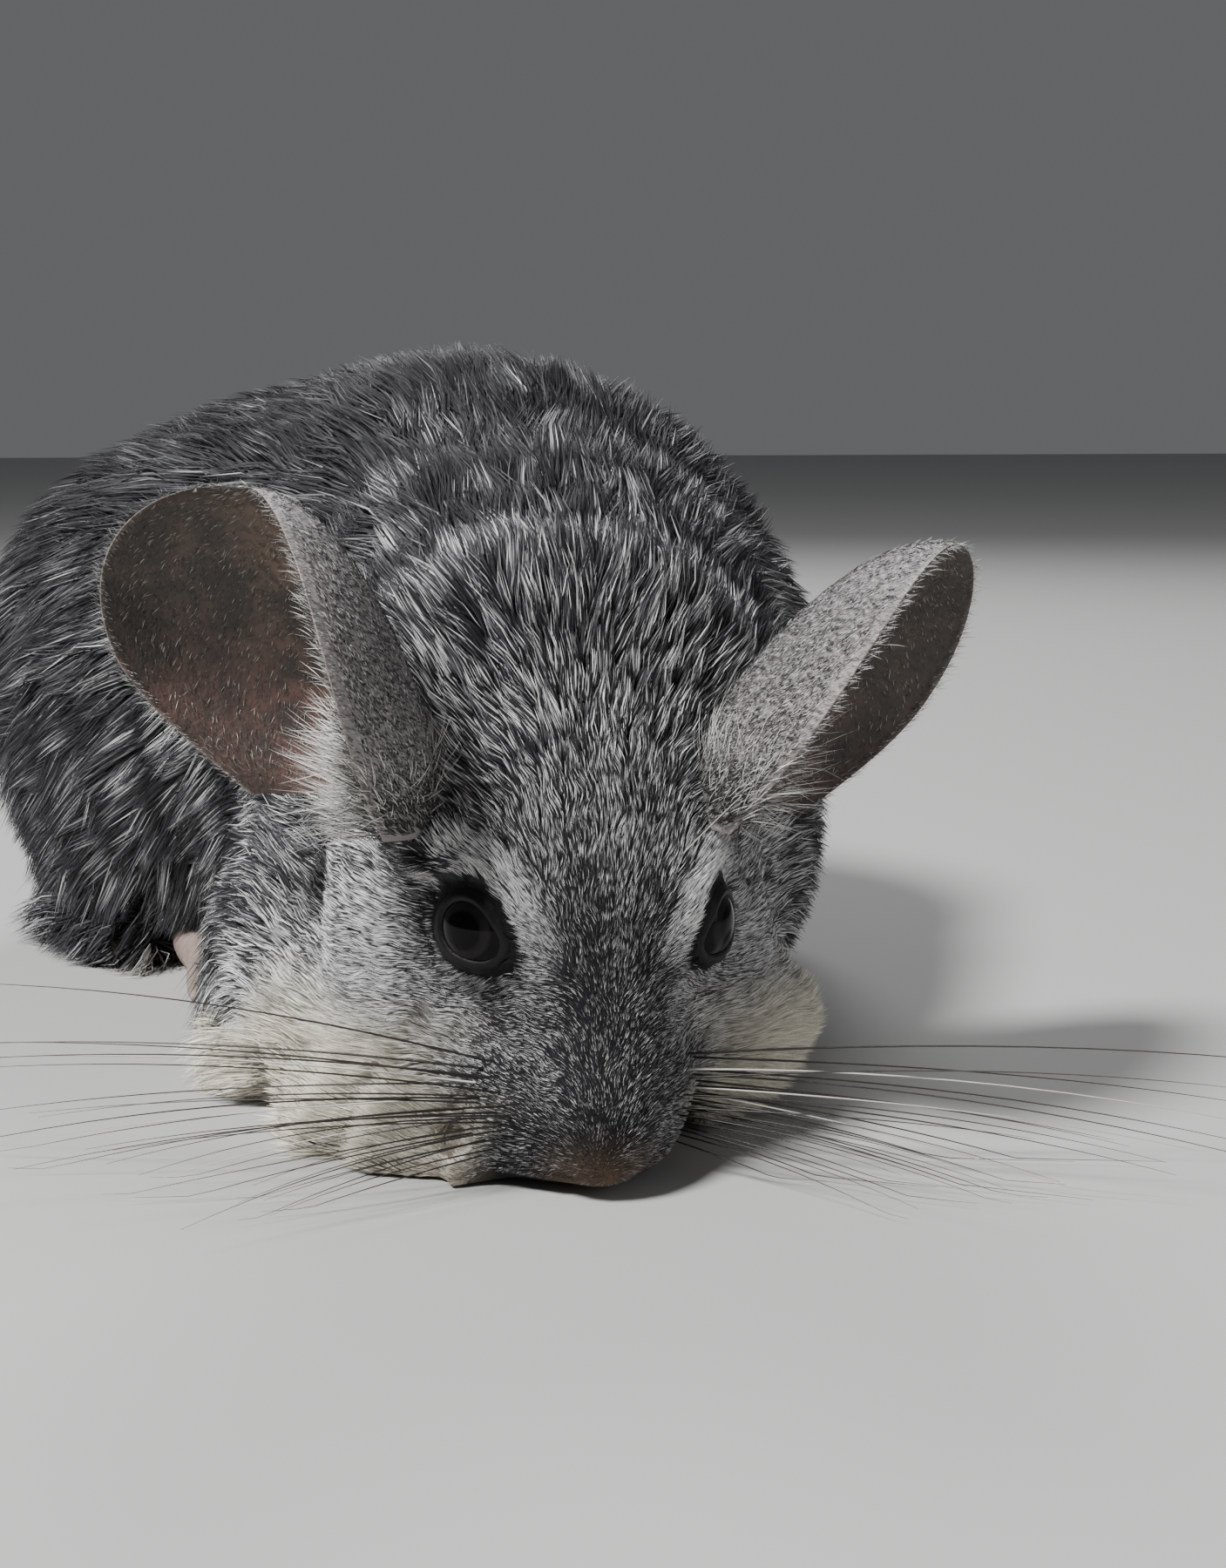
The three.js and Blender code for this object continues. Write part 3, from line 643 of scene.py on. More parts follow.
# By the distance from the nose's tip, and what changes in places
coat = {
    "from": (0, 10, 22, 36, 50, 64, 80, 105), "length": (1.2, 1.4, 1.6, 2.1, 3.2, 5.8, 10.0, 15.0),
    "density": (44.0, 44.0, 44.0, 38.0, 15.0, 7.6, 4.6, 3.5),
    "width": (0.12, 0.12, 0.13, 0.15, 0.2, 0.28, 0.34, 0.42),
    "clump": (0.8, 0.9, 1.1, 1.5, 2.4, 3.6, 5.5, 7.5),
    "pull": (0.1, 0.12, 0.15, 0.2, 0.28, 0.34, 0.42, 0.46),
    "lift": (0.5, 0.42, 0.34, 0.34, 0.42, 0.44, 0.42, 0.42),
    "spread": (0.44, 0.44, 0.44, 0.44, 0.42, 0.32, 0.2, 0.13),
    "quickShare": 0.3, "faceUntil": 44.0, "headUntil": 74.0, "patch": 0.003,
    "pieceTriangles": 190000,
    "resting": {"shorter": 0.6, "flatter": 0.8, "thinner": 0.4},
    "nearEye": {"shorter": 0.35, "flatter": 0.5, "fade": 22},
    "skirtLonger": 0.3,
    "ruff": {"longer": 1.7, "wider": 0.35, "lift": 0.14},
    "sag": 0.12,
}
blade = {
    "rise": 1.3, "endWay": 0.25, "endRise": 0.3, "twist": 0.35, "sunk": 0.3, "taper": 1.6,
    "lowest": 0.15, "together": 51,
}
lie = {"eyeReach": 9.5, "eyePush": 1.3, "flank": -0.55, "low": -0.8, "neckAt": (0, 8, 0), "neck": (42, 68)}


def byDistance(points, key):
    return np.interp(distance(points, noseTip), coat["from"], coat[key])


# The coat lies back over the head and round the eyes, and back and down along the body
def lieOfCoat(points, normals):
    local, ones = headLocal(points), np.ones(len(points))
    side = np.sign(local[:, 0]) * smooth(np.abs(local[:, 0]), 0, 14)
    outward = 0.1 + 0.5 * smooth(-local[:, 1], -20, 10)
    headWay = np.stack([side * outward, ones, -0.2 - 0.45 * np.abs(side)], 1) @ headTurn.T
    for centre in eyeCentres.values():
        push = np.exp(-((distance(points, centre) / lie["eyeReach"]) ** 2))[:, None]
        headWay = headWay + unit(points - centre) * push * lie["eyePush"]
    straight = points[:, 0] - swayAt(points[:, 1])
    down = lie["flank"] * smooth(np.abs(straight), 8, 50) + lie["low"] * smooth(-points[:, 2], -30, -10)
    slope = (swayAt(points[:, 1] + 1) - swayAt(points[:, 1] - 1)) / 2
    bodyWay = np.stack([slope, ones, down], 1)
    share = smooth(distance(points, onHead(*lie["neckAt"])), *lie["neck"])[:, None]
    way = unit(headWay) * (1 - share) + unit(bodyWay) * share
    way = way + (0.12 + 0.16 * share) * waveVectors(points, 18, 21)
    way = way + (0.2 - 0.08 * share) * waveVectors(points, 5, 31)
    return unit(way - (way * normals).sum(1, keepdims=True) * normals)


def evenly(density):
    return lambda points: np.full(len(points), density)


# Root places spread over triangles by a density in tufts a square millimetre
def spreadRoots(mesh, densityAt, rng, values=()):
    points, normals = meshArrays(mesh)
    mesh.calc_loop_triangles()
    corners, loops = (readAll(mesh.loop_triangles, key, 3, np.int64) for key in ("vertices", "loops"))
    a, b, c = (points[corners[:, k]] for k in range(3))
    weight = distance(np.cross(b - a, c - a)) / 2 * densityAt((a + b + c) / 3)
    count = int(weight.sum() * (1.0))
    chosen = np.searchsorted(np.cumsum(weight), rng.uniform(0, weight.sum(), count))
    chosen = np.minimum(chosen, len(weight) - 1)
    chosen.sort()
    r, s = np.sqrt(rng.uniform(size=count)), rng.uniform(size=count)
    shares = np.stack([1 - r, r * (1 - s), r * s], 1)[:, :, None]

    def carried(value, which):
        return (value[which[chosen]] * shares).sum(1)

    bake = carried(readAll(mesh.uv_layers["OFBake"].data, "uv", 2), loops)
    others = [carried(value, corners) for value in values]
    return carried(points, corners), unit(carried(normals, corners)), bake, *others


def clumpTips(points, tips, sizes, seed):
    warped = points + 0.35 * sizes[:, None] * waveVectors(points, 9, seed)
    cells = np.floor(warped / sizes[:, None]).astype(np.int64)
    keys = cells @ np.array((73856093, 19349663, 83492791))
    _, group = np.unique(keys, return_inverse=True)
    count = np.bincount(group).astype(float)
    return np.stack([np.bincount(group, tips[:, k]) / count for k in range(3)], 1)[group]


# Each tuft is a flat blade of a few rows that ends in a point
def growTufts(name, roots, normals, ways, bake, shape, marks, rng, rows=3, sag=0.0):
    count = len(roots)
    lean, length, width = shape["lift"][:, None], shape["length"], shape["width"]
    first = unit(ways * (1 - lean) + normals * (lean * blade["rise"]))
    last = ways * (1 - lean * blade["endWay"]) + normals * lean * blade["endRise"]
    last = unit(last - np.array((0, 0, sag)))
    across = unit(np.cross(first, normals) + rng.normal(scale=blade["twist"], size=(count, 3)))
    start = roots - normals * blade["sunk"]
    middle = start + first * (length * 0.5)[:, None]
    end = middle + last * (length * 0.5)[:, None]
    if "clump" in shape:
        pull = shape["pull"][:, None]
        end = end * (1 - pull) + clumpTips(roots, end, shape["clump"], blade["together"]) * pull
    places, lies, bakes = [], [], []
    for row, share in enumerate(np.linspace(0, 1, rows)):
        centre = start * (1 - share) ** 2 + middle * 2 * share * (1 - share) + end * share**2
        for column in (-1, 1) if row < rows - 1 else (0,):
            wide = width * 0.5 * (1 - share ** blade["taper"]) * column
            places.append(centre + across * wide[:, None])
            lies.append((column * 0.5 + 0.5, share))
            bakes.append(bake + (np.array(lies[-1]) - 0.5) * coat["patch"])
    each = len(places)
    points = np.stack(places, 1).reshape(-1, 3)
    points[:, 2] = np.maximum(points[:, 2], blade["lowest"])
    lieUv = np.tile(np.array(lies), (count, 1))
    bakeUv = np.clip(np.stack(bakes, 1).reshape(-1, 2), 0, 1)
    faces = []
    for low in range(0, (rows - 2) * 2, 2):
        faces += [(low, low + 1, low + 3), (low, low + 3, low + 2)]
    faces.append((rows * 2 - 4, rows * 2 - 3, rows * 2 - 2))
    faces = np.array(faces)
    perPiece = coat["pieceTriangles"] // len(faces)
    for part, begin in enumerate(range(0, count, perPiece)):
        stop = min(begin + perPiece, count)
        use = slice(begin * each, stop * each)
        corners = (faces[None] + (np.arange(stop - begin) * each)[:, None, None]).reshape(-1, 3)
        mesh = triangleMesh(name, points[use], corners)
        for layer, values in (("OFBake", bakeUv[use]), ("lie", lieUv[use])):
            mesh.uv_layers.new(name=layer).data.foreach_set("uv", values[corners.ravel()].ravel())
        paintMarks(mesh, np.repeat(marks[begin:stop], each, axis=0))
        addPiece(f"{name}{part + 1}", mesh, coatMaterial)
    print(name, count, "tufts", count * len(faces), "triangles")


# The nose pad round the nostrils is bare
def nosePad(points):
    x, y, z = headLocal(points).T
    low = smooth(-y, 30, 31.5) * smooth(-z, 7.4, 8.8) * smooth(-np.abs(x), -4.8, -3.6)
    return low * smooth(z, -12.5, -10.5)


def bodyDensity(points):
    under = 1 - coat["resting"]["thinner"] * smooth(-points[:, 2], -2.5, -1.2)
    return byDistance(points, "density") * (1 - eyeMask(points, 1, 2)) * (1 - nosePad(points)) * under


def growBody():
    rng = np.random.default_rng(7)
    everyRoot = spreadRoots(skinMesh, bodyDensity, rng)
    far = distance(everyRoot[0], noseTip)
    inFace, inHead = far <= coat["faceUntil"], far <= coat["headUntil"]
    resting, eyeward, ruff = (coat[key] for key in ("resting", "nearEye", "ruff"))
    zones = (("coatFace", inFace, 2), ("coatHead", inHead & ~inFace, 3), ("coatBody", ~inHead, 3))
    for name, use, rows in zones:
        roots, normals, bake = (part[use] for part in everyRoot)
        count, low, away = len(roots), -roots[:, 2], far[use]
        ways = lieOfCoat(roots, normals)
        rest = smooth(low, -3, -1) * smooth(-normals[:, 2], 0.2, 0.7)
        nearEye = eyeMask(roots, 2, eyeward["fade"])
        calm = (1 - resting["flatter"] * rest) * (1 - eyeward["flatter"] * nearEye)
        marks = markings(roots)
        skirt = coat["skirtLonger"] * smooth(low, -26, -12) * smooth(away, 70, 90)
        fluffy = marks[:, 1] * smooth(away, 18, 30) * smooth(-away, -80, -60)
        length = byDistance(roots, "length") * rng.uniform(0.75, 1.2, count) * (1 - resting["shorter"] * rest)
        length = length * (1 - eyeward["shorter"] * nearEye) * (1 + skirt + ruff["longer"] * fluffy)
        width = byDistance(roots, "width") * rng.uniform(0.7, 1.2, count) * (1 + ruff["wider"] * fluffy)
        lift = byDistance(roots, "lift") + rng.normal(scale=0.07, size=count)
        lift = np.clip(np.clip(lift, 0.05, 0.8) * calm + ruff["lift"] * fluffy, 0.05, 0.8)
        shape = {"length": length, "width": width, "lift": lift}
        shape.update({key: byDistance(roots, key) for key in ("clump", "pull")})
        marks[:, 0] = np.clip(marks[:, 0] + rng.normal(size=count) * byDistance(roots, "spread"), 0, 1)
        growTufts(name, roots, normals, ways, bake, shape, marks, rng, rows, coat["sag"])


coatMaterial = coatFinish()
growBody()


# Eyes: a wet dark ball with a faint ring, set in bare black lids
eyeball = {
    "segments": 48, "rings": 32,
    "ring": (
        (0.0, (0.0012, 0.0012, 0.0015)), (0.24, (0.0012, 0.0012, 0.0015)), (0.29, (0.012, 0.011, 0.011)),
        (0.37, (0.016, 0.014, 0.014)), (0.42, (0.003, 0.003, 0.003)),
    ),
}


def eyeFinish():
    finish = Finish("eye", specular=0.06, coat=0.12, coatRoughness=0.02)
    return finish.surface(finish.ramp(finish.uvShare("eyeRing", 0), eyeball["ring"]), 0.12)


def makeEye(side):
    shape = bmesh.new()
    turn = Vector((0, 0, 1)).rotation_difference(Vector(gazeOf(side))).to_matrix().to_4x4()
    segments, rings = eyeball["segments"], eyeball["rings"]
    bmesh.ops.create_uvsphere(shape, u_segments=segments, v_segments=rings, radius=eyeRadius * mm)
    ringLayer = shape.loops.layers.uv.new("eyeRing")
    for face in shape.faces:
        face.smooth = True
        for loop in face.loops:
            way = loop.vert.co.normalized()
            loop[ringLayer].uv = (math.acos(max(-1, min(1, way.z))) / math.pi * 2, 0.5)
    middle = Matrix.Translation(Vector(toFrame(eyeCentres[side])))
    bmesh.ops.transform(shape, matrix=middle @ turn, verts=shape.verts)
    return meshOf(shape, "eye")


def makeLids(side):
    gaze, corner, over = eyeAxes(side)
    turn = np.linspace(0, 2 * math.pi, lids["steps"], endpoint=False)
    front = lids["cornerBand"] * np.maximum(np.cos(turn), 0) ** 4
    rows = []
    for beyond, height in lids["section"]:
        facing = np.radians(lidInner(turn) + beyond + front * beyond / lids["cornerWhole"])
        fold = lids["fold"] * np.sin(facing * lids["folds"]) * smooth(beyond, *lids["foldFrom"])
        way = np.outer(np.cos(facing), gaze)
        way += np.sin(facing)[:, None] * (np.outer(np.cos(turn), corner) + np.outer(np.sin(turn), over))
        rows.append(eyeCentres[side] + way * (eyeRadius + height + fold)[:, None])
    grid = np.array(rows) if side == "right" else np.array(rows)[:, ::-1]
    return tubeMesh("lids", grid)


def lidFinish():
    finish = Finish("lids", specular=0.22)
    grain = finish.noise(1600.0, 4.0)
    tone = finish.mix(grain, (0.003, 0.003, 0.0032), (0.011, 0.0105, 0.0105))
    return finish.surface(tone, 0.5, (grain, 0.35, 0.0003))


eyeMaterial, lidMaterial = eyeFinish(), lidFinish()
for side in sideSign:
    addPiece(f"eyeball_{side}", makeEye(side), eyeMaterial, [f"eye_{side}"])
    addPiece(f"lids_{side}", makeLids(side), lidMaterial)
print("eyes")


# Ear leaves: bare and mottled inside, with short fur behind and long pale hairs at the front
earColours = {
    "pale": (0.23, 0.15, 0.108), "dark": (0.06, 0.046, 0.038), "speck": (0.045, 0.034, 0.028),
    "flush": (0.3, 0.105, 0.085), "rear": (0.042, 0.038, 0.035), "behindDark": (0.17, 0.16, 0.16),
    "behindPale": (0.3, 0.27, 0.265), "rim": (0.3, 0.25, 0.22),
}
earCoat = {
    "density": 8.5, "rough": 0.22, "spread": 0.24,
    "earFur": {"width": 0.13, "lift": 0.2, "light": 0.64, "cream": 0.06, "rows": 2},
    "earDown": {"width": 0.075, "lift": 0.3, "light": 0.7, "cream": 0.3, "rows": 3},
    "earFringe": {"width": 0.07, "lift": 0.3, "light": 0.75, "cream": 0.1, "rows": 3},
    "earHairs": {"width": 0.12, "lift": 0.22, "light": 0.95, "cream": 0.2, "rows": 5, "sag": 0.1},
    "earTuft": {"width": 0.14, "lift": 0.35, "light": 0.92, "cream": 0.3, "rows": 5, "sag": 0.2},
}


def makeEar(side):
    along = np.sin(np.linspace(0, 1, ear["rows"]) * math.pi / 2)
    along = ear["from"] + (1 - ear["from"]) * along
    half = np.sin(np.linspace(-1, 1, ear["columns"]) * math.pi / 2)
    v, u = np.meshgrid(along, np.concatenate([half, half[::-1]]), indexing="ij")
    w = np.broadcast_to(np.repeat((1.0, -1.0), len(half)), u.shape)
    grid, places = earPlace(side, u, v, w), np.stack([u, v, w], -1)
    if side == "left":
        grid, places = grid[:, ::-1], places[:, ::-1]
    mesh, places = tubeMesh("ear", grid), places.reshape(-1, 3)
    across, along, inward = places.T
    part = np.where(inward > 0, 0.75 + 0.25 * across, 0)
    paintMarks(mesh, np.stack([part, np.maximum(np.abs(across) ** 3, along**6), 1 - along], 1))
    return mesh, places


def earFinish():
    finish, colours = Finish("ear", specular=0.35), earColours
    part, rim, low = (finish.mark(channel) for channel in range(3))
    blotch, speck = finish.noise(150.0, 6.0, roughness=0.68), finish.noise(900.0, 4.0)
    tone = finish.mix(finish.between(blotch, 0.36, 0.62), colours["pale"], colours["dark"])
    tone = finish.mix(finish.between(speck, 0.5, 0.66) * 0.65, tone, colours["speck"])
    flushed = finish.between(low, 0.3, 0.6) * finish.between(blotch, 0.66, 0.4)
    tone = finish.mix(flushed * 0.55, tone, colours["flush"])
    tone = finish.mix(finish.between(part, 0.66, 0.98) * 0.8, tone, colours["rear"])
    behind = finish.mix(blotch, colours["behindDark"], colours["behindPale"])
    tone = finish.mix(finish.between(part, 0.3, 0.45), behind, tone)
    tone = finish.mix(finish.between(rim, 0.92, 1.0) * 0.35, tone, colours["rim"])
    return finish.surface(tone, 0.5, (blotch + speck * 0.5, 0.6, 0.0008))


# To the tip, to the nearer rim and to the other rim
def earWays(side, across, along):
    step, flat = 0.02, np.zeros(len(across))
    here = earPlace(side, across, along, flat)
    upward = earPlace(side, across, np.minimum(along + step, 0.999), flat) - here
    outward = earPlace(side, across + step * np.sign(across), along, flat) - here
    over = earPlace(side, -np.sign(across), along, flat) - here
    return unit(upward), unit(outward), unit(over)


def growEar(side, mesh, places):
    rng = np.random.default_rng(ear[side]["seed"])
    bakeUnwrap(mesh)
    roots, normals, bake, place = spreadRoots(mesh, evenly(earCoat["density"]), rng, (places,))
    across, along, inward = place.T
    upward, outward, over = earWays(side, across, along)
    rough = rng.normal(scale=earCoat["rough"], size=roots.shape)
    behind, shown = inward < 0, along > ear["shown"]
    rimmed = (np.abs(across) > 0.955) | (along > 0.99)
    chance = rng.uniform(size=len(roots))
    low = 1 - smooth(along, 0.3, 0.62)
    vary = rng.uniform(0.6, 1.25, len(roots))

    def grow(name, pick, way, length):
        kind, count = earCoat[name], int(pick.sum())
        tone = kind["light"] + rng.normal(scale=earCoat["spread"], size=len(roots))
        marks = np.stack([np.clip(tone, 0, 1)[pick], np.full(count, kind["cream"]), np.zeros(count)], 1)
        shape = {key: np.full(count, kind[key]) for key in ("width", "lift")}
        shape["length"] = length[pick]
        own = [values[pick] for values in (roots, normals, unit(way + rough), bake)]
        growTufts(f"{name}_{side}_", *own, shape, marks, rng, kind["rows"], kind.get("sag", 0.0))

    longer = 1.3 + 3 * smooth(-along, -0.45, -0.22)
    grow("earFur", behind & ~rimmed & shown, upward + 0.45 * outward, longer * vary)
    grow("earDown", ~behind & ~rimmed & (chance < 0.2) & shown, upward - 0.7 * outward, 1.9 * vary)
    grow("earFringe", rimmed & shown & (chance < 0.6), 0.5 * upward + outward, 1.2 * vary**3 + 0.4)
    # Long pale hairs from the front rim over the opening, thickest at the notch
    pick = (across < -0.8) & ~behind & (along > 0.2) & (along < 0.88) & (chance < 0.3 + 0.7 * low)
    grow("earHairs", pick, over + 0.3 * upward, (4.5 + 7.5 * low) * vary)
    pick = ~behind & shown & (along < 0.4) & (across < 0.35) & (chance < 0.4)
    grow("earTuft", pick, upward + 0.4 * over, 8.5 * vary)


earMaterial = earFinish()
for side in sideSign:
    earMesh, earPlaces = makeEar(side)
    growEar(side, earMesh, earPlaces)
    addPiece(f"earLeaf_{side}", earMesh, earMaterial, [f"ear_{side}"])


# Whiskers: long tapered bristles in rows on each pad, a few above each eye
whisker = {
    "rows": 5, "columns": 6, "length": 90.0, "radius": 0.17, "thin": 0.85, "droop": 0.1,
    "steps": 14, "sides": 3, "lowest": (0.6, 0.4),
    "left": {"sweep": -0.52, "spread": 0.7, "rise": 0.06, "seed": 61},
    "right": {"sweep": 0.1, "spread": 0.6, "rise": 0.14, "seed": 62},
    "brows": {"count": 4, "radius": 0.11, "droop": 0.12},
}


def nearestOn(mesh, points):
    tree = newObject("near", mesh)
    bpy.context.view_layer.update()
    found = [fromFrame(np.array(tree.closest_point_on_mesh(Vector(toFrame(point)))[1])) for point in points]
    bpy.data.objects.remove(tree)
    return np.array(found)


def bristle(root, way, length, radius, droop, curve):
    share = np.linspace(0, 1, whisker["steps"])
    line = root + np.outer(share * length, way)
    line = line + np.outer(share**2 * length, curve) - np.outer(share**2.2 * length * droop, (0, 0, 1))
    line[:, 2] = np.maximum(line[:, 2], whisker["lowest"][0] + whisker["lowest"][1] * share)
    along = unit(np.gradient(line, axis=0))
    first = unit(np.cross(along, (0.1, 0.2, 1.0)))
    second = np.cross(along, first)
    thick = (radius * (1 - whisker["thin"] * share))[:, None]
    turns = [2 * math.pi * corner / whisker["sides"] for corner in range(whisker["sides"])]
    return np.stack([line + thick * (math.cos(turn) * first + math.sin(turn) * second) for turn in turns], 1)


def makeWhiskers(side):
    sign, pose, brows = sideSign[side], whisker[side], whisker["brows"]
    rng = np.random.default_rng(pose["seed"])
    wanted, ways, sizes = [], [], []
    for row in range(whisker["rows"]):
        for column in range(whisker["columns"]):
            down, back = row / (whisker["rows"] - 1), column / (whisker["columns"] - 1)
            wanted.append(onHead(sign * 13, -26 + 9 * back + rng.normal(scale=0.4), -2.5 - 9 * down))
            sweep = pose["sweep"] + pose["spread"] * (back - 0.6) + rng.normal(scale=0.07)
            ways.append((sign, sweep, pose["rise"] - 0.24 * down + rng.normal(scale=0.04)))
            sizes.append((0.45 + 0.55 * back) * (1 - 0.3 * down) * rng.uniform(0.8, 1.05))
    bristles = []
    for root, way, size in zip(nearestOn(skinMesh, wanted), np.array(ways), sizes):
        curve = np.array((0.0, 0.1 * rng.normal() + 0.08 * -sign * pose["sweep"], 0.0))
        length, radius = whisker["length"] * size, whisker["radius"] * (0.6 + 0.5 * size)
        bristles.append(bristle(root, unit(way), length, radius, whisker["droop"], curve))
    for index in range(brows["count"]):
        root = nearestOn(skinMesh, [onHead(sign * (9 + 1.5 * index), 3 + 2.2 * index, 12 - index)])[0]
        way = unit(np.array((sign * (0.6 + 0.15 * index), -0.25 + 0.2 * index, 0.7 - 0.12 * index)))
        bristles.append(bristle(root, way, 30 - 4 * index, brows["radius"], brows["droop"], np.zeros(3)))
    joined = bmesh.new()
    for rings in bristles:
        part = tubeMesh("whisker", rings)
        joined.from_mesh(part)
        bpy.data.meshes.remove(part)
    mesh, sides = meshOf(joined, "whiskers"), whisker["sides"]
    shares = np.tile(np.repeat(np.linspace(0, 1, whisker["steps"]), sides), len(bristles))
    tones = np.repeat(rng.uniform(size=len(bristles)), whisker["steps"] * sides)
    paintMarks(mesh, np.stack([shares, tones, shares * 0], 1))
    return mesh


def whiskerFinish():
    finish = Finish("whisker", specular=0.5)
    dark = finish.mix(finish.mark(0), (0.006, 0.005, 0.005), (0.05, 0.038, 0.03))
    tone = finish.mix(finish.between(finish.mark(1), 0.86, 0.92), dark, (0.5, 0.47, 0.43))
    return finish.surface(tone, 0.35)


whiskerMaterial = whiskerFinish()
for side in sideSign:
    addPiece(f"whiskers_{side}", makeWhiskers(side), whiskerMaterial)
print("whiskers")


# Paws: softened from the solids, with grained skin
paw = {"joinAngle": 0.7, "softening": 2, "levels": 2}


def softCopy(node):
    shape, angle = solidShape(node), paw["joinAngle"]
    limits = {"angle_face_threshold": angle, "angle_shape_threshold": angle}
    bmesh.ops.join_triangles(shape, faces=shape.faces, **limits)
    piece = newObject(node, meshOf(shape, node))
    soften = piece.modifiers.new("soften", "SMOOTH")
    soften.iterations = paw["softening"]
    smoother = piece.modifiers.new("smoother", "SUBSURF")
    smoother.levels = paw["levels"]
    smoother.render_levels = paw["levels"]
    soft = applied(piece)
    soft.shade_smooth()
    return soft


def pawFinish():
    finish = Finish("paw", specular=0.3)
    grain, crease = finish.noise(700.0, 5.0), finish.noise(2600.0, 2.0)
    tone = finish.mix(grain, (0.2, 0.14, 0.12), (0.34, 0.27, 0.24))
    return finish.surface(tone, 0.62, (grain + crease * 0.5, 0.5, 0.0005))


pawMaterial = pawFinish()
for part in ("hand", "foot"):
    for side in sideSign:
        addPiece(f"{part}Skin_{side}", softCopy(f"{part}_{side}"), pawMaterial, [f"{part}_{side}"])
print("paws")


# Tail: a slim core under a long bushy brush
tail = {
    "line": (
        (-24, 96, 27), (-21, 117, 19), (-4, 132, 13.5), (22, 136, 12), (50, 128, 12), (71, 110, 12),
        (83, 88, 11.5),
    ),
    "step": 0.01, "steps": 80, "sides": 20, "core": 4.2, "coreEnd": 0.86, "brush": 14.5,
    "lengthFrom": (0, 0.3, 1), "length": (14, 22, 26),
    "density": 5.0, "clump": 5.0, "pull": 0.3, "rows": 5, "coreLight": 0.25,
}


def splineThrough(line, shares):
    line = np.array(line, float)
    ends = np.concatenate([[2 * line[0] - line[1]], line, [2 * line[-1] - line[-2]]])
    place = np.clip(shares, 0, 1) * (len(line) - 1)
    index = np.minimum(place.astype(int), len(line) - 2)
    t = (place - index)[:, None]
    a, b, c, d = (ends[index + k] for k in range(4))
    return 0.5 * (2 * b + (c - a) * t + (2 * a - 5 * b + 4 * c - d) * t**2 + (3 * b - a - 3 * c + d) * t**3)


def tailFrames(shares):
    line, step = tail["line"], tail["step"]
    after = np.minimum(shares + step, 1)
    ahead = unit(splineThrough(line, after) - splineThrough(line, after - 2 * step))
    across = unit(np.cross((0, 0, 1), ahead))
    return splineThrough(line, shares), ahead, across, np.cross(ahead, across)


def makeTail():
    shares = np.linspace(0, tail["coreEnd"], tail["steps"])
    line, ahead, across, through = tailFrames(shares)
    angle = np.linspace(0, 2 * math.pi, tail["sides"], endpoint=False)
    swell = np.sin(math.pi * (0.35 + 0.64 * shares / tail["coreEnd"]))
    radius = tail["core"] * np.sqrt(np.maximum(swell, 0.01))
    rings = np.cos(angle)[None, :, None] * across[:, None] + np.sin(angle)[None, :, None] * through[:, None]
    grid = line[:, None] + rings * radius[:, None, None]
    return tubeMesh("tailCore", grid[:, ::-1]), np.repeat(shares, tail["sides"])[:, None]


def growTail():
    mesh, places = makeTail()
    bakeUnwrap(mesh)
    rng = np.random.default_rng(17)
    roots, normals, bake, place = spreadRoots(mesh, evenly(tail["density"]), rng, (places,))
    share, count = place[:, 0], len(roots)
    ahead = tailFrames(share)[1]
    swell = np.maximum(np.sin(math.pi * np.minimum(0.22 + (share + 0.12) * 0.76, 1)), 0.05) ** 0.6
    length = np.interp(share, tail["lengthFrom"], tail["length"]) * rng.uniform(0.7, 1.1, count)
    reach = (tail["brush"] * swell - tail["core"]) / length
    shape = {
        "length": length,
        "width": rng.uniform(0.45, 0.8, count),
        "lift": np.clip(reach * 1.3, 0.25, 0.75) * rng.uniform(0.5, 1.15, count),
        "clump": np.full(count, tail["clump"]),
        "pull": np.full(count, tail["pull"]),
    }
    top = smooth(normals[:, 2], -0.2, 0.7)
    light = 0.5 - 0.3 * top + 0.12 * waves(roots, 9, 12) + rng.normal(scale=0.16, size=count)
    marks = np.stack([np.clip(light, 0, 1), smooth(-normals[:, 2], 0.4, 0.9) * 0.5, np.zeros(count)], 1)
    ways = unit(ahead + rng.normal(scale=0.12, size=(count, 3)))
    growTufts("coatTail", roots, normals, ways, bake, shape, marks, rng, tail["rows"])
    paintMarks(mesh, (tail["coreLight"], 0, 0))
    addPiece("tailCore", mesh, skinMaterial, ["tail_root", "tail_middle", "tail_tip"])


growTail()


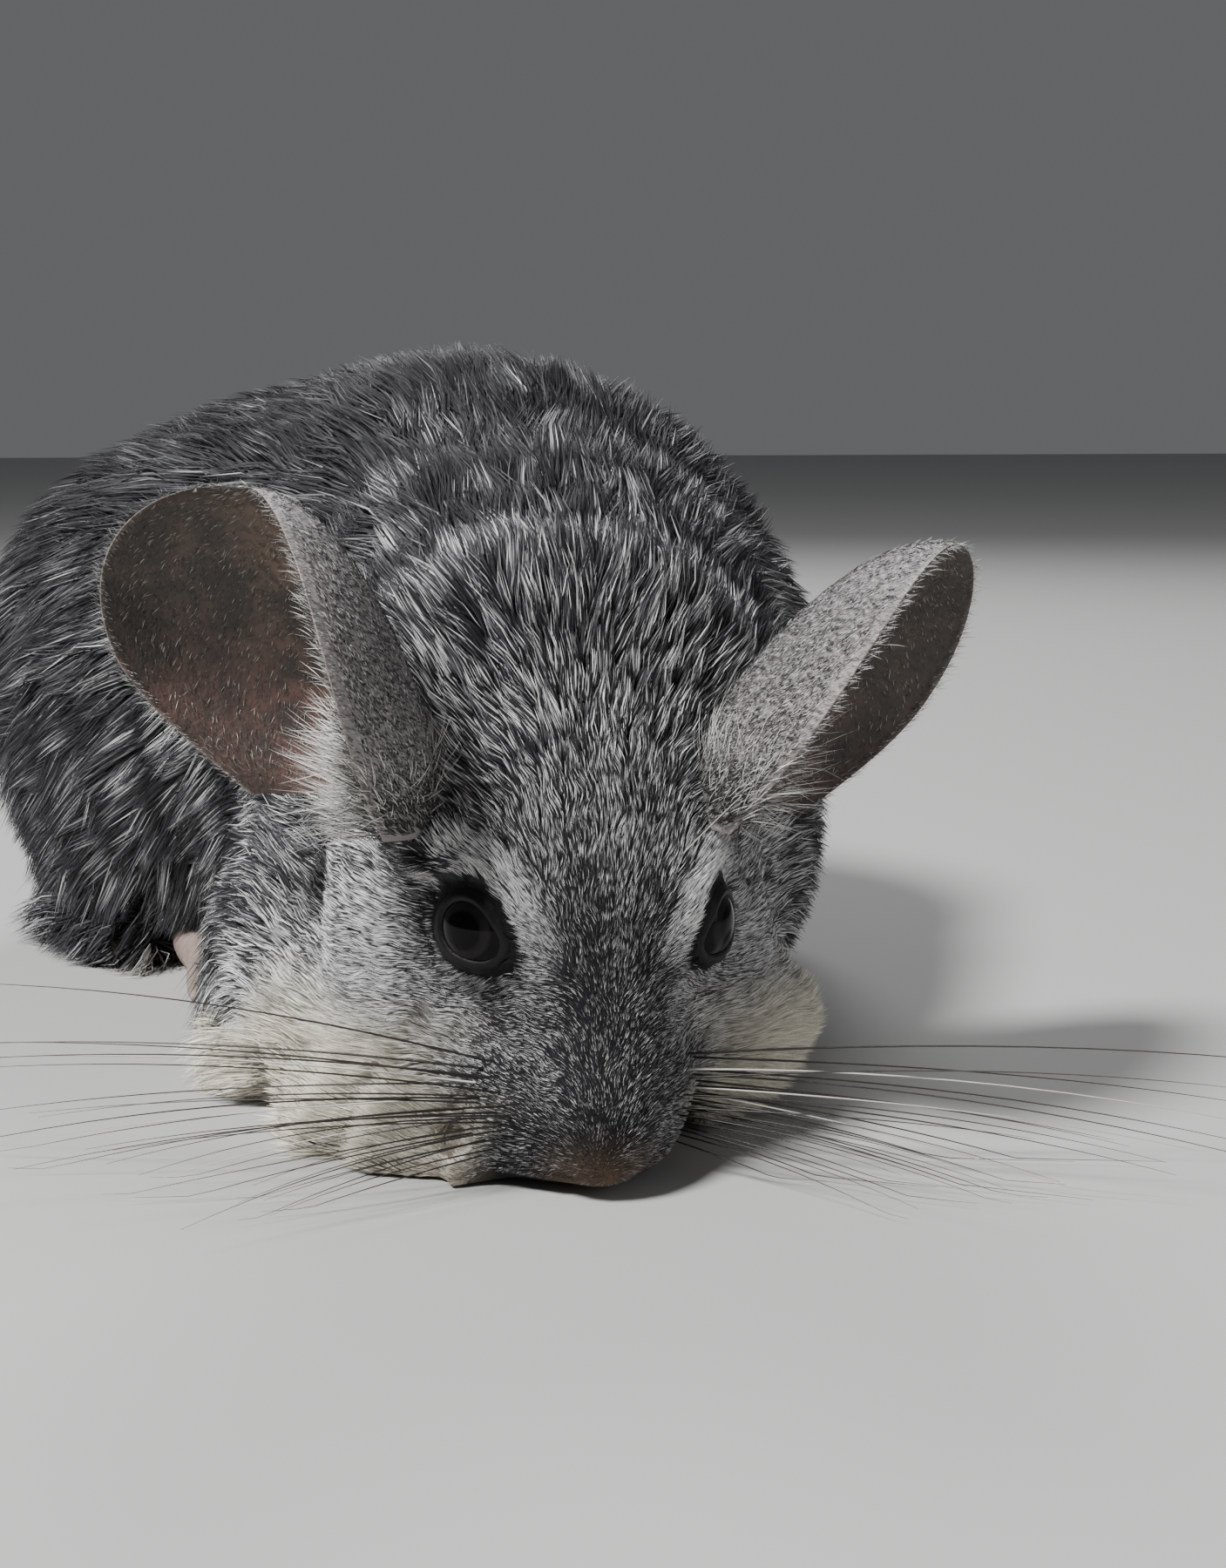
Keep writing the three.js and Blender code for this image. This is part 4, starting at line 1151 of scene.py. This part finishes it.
# Stage: floor, lights and the camera at the photo's place
view = {
    "azimuth": -14.0, "away": 267.0, "pitch": 9.0, "lens": 52.4, "sensor": 36.0, "nearest": 0.01,
    "imageWidth": 1407, "imageHeight": 1800, "nosePixel": (690.0, 1375.0),
}
stage = {
    "floorSize": 6.0, "floor": (0.42, 0.42, 0.41), "lookAt": (0, 0, 0.04),
    "world": (0.8, 0.82, 0.85, 1), "worldStrength": 0.16,
    "lights": (
        ("key", (-0.62, -0.5, 0.95), 0.26, 31),
        ("fill", (0.9, -0.9, 0.5), 1.0, 2.5),
        ("back", (0.2, 0.85, 0.8), 0.5, 8),
    ),
}


def makeCamera():
    focal = view["lens"] / view["sensor"] * view["imageHeight"]
    azimuth, pitch = math.radians(view["azimuth"]), math.radians(view["pitch"])
    ahead = Vector((-math.sin(azimuth), math.cos(azimuth), 0))
    right = Vector((math.cos(azimuth), math.sin(azimuth), 0))
    drop = math.atan((view["nosePixel"][1] - view["imageHeight"] / 2) / focal) + pitch
    aside = (view["imageWidth"] / 2 - view["nosePixel"][0]) / focal * view["away"]
    nose = Vector(toFrame(noseTip))
    place = Vector((nose.x, nose.y, 0)) - ahead * view["away"] * mm + right * aside * mm
    place.z = view["away"] * math.tan(drop) * mm
    look = ahead * math.cos(pitch) - Vector((0, 0, math.sin(pitch)))
    data = bpy.data.cameras.new("camera")
    data.lens = view["lens"]
    data.sensor_width = view["sensor"]
    data.clip_start = view["nearest"]
    camera = newObject("camera", data)
    camera.location = place
    camera.rotation_euler = look.to_track_quat("-Z", "Y").to_euler()
    bpy.context.scene.camera = camera


def makeFloor():
    shape = bmesh.new()
    bmesh.ops.create_grid(shape, x_segments=2, y_segments=2, size=stage["floorSize"])
    floor = newObject("floor", meshOf(shape, "floor"))
    floor.data.materials.append(Finish("floor", specular=0.2).surface(stage["floor"], 0.8).material)


def makeLight(name, place, size, power):
    data = bpy.data.lights.new(name, "AREA")
    data.shape = "DISK"
    data.size = size
    data.energy = power
    light = newObject(name, data)
    light.location = place
    light.rotation_euler = (Vector(stage["lookAt"]) - Vector(place)).to_track_quat("-Z", "Y").to_euler()


makeFloor()
makeCamera()
for lamp in stage["lights"]:
    makeLight(*lamp)
world = bpy.data.worlds.new("studio")
world.use_nodes = True
sky = world.node_tree.nodes["Background"]
sky.inputs["Color"].default_value = stage["world"]
sky.inputs["Strength"].default_value = stage["worldStrength"]
bpy.context.scene.world = world
print("stage")
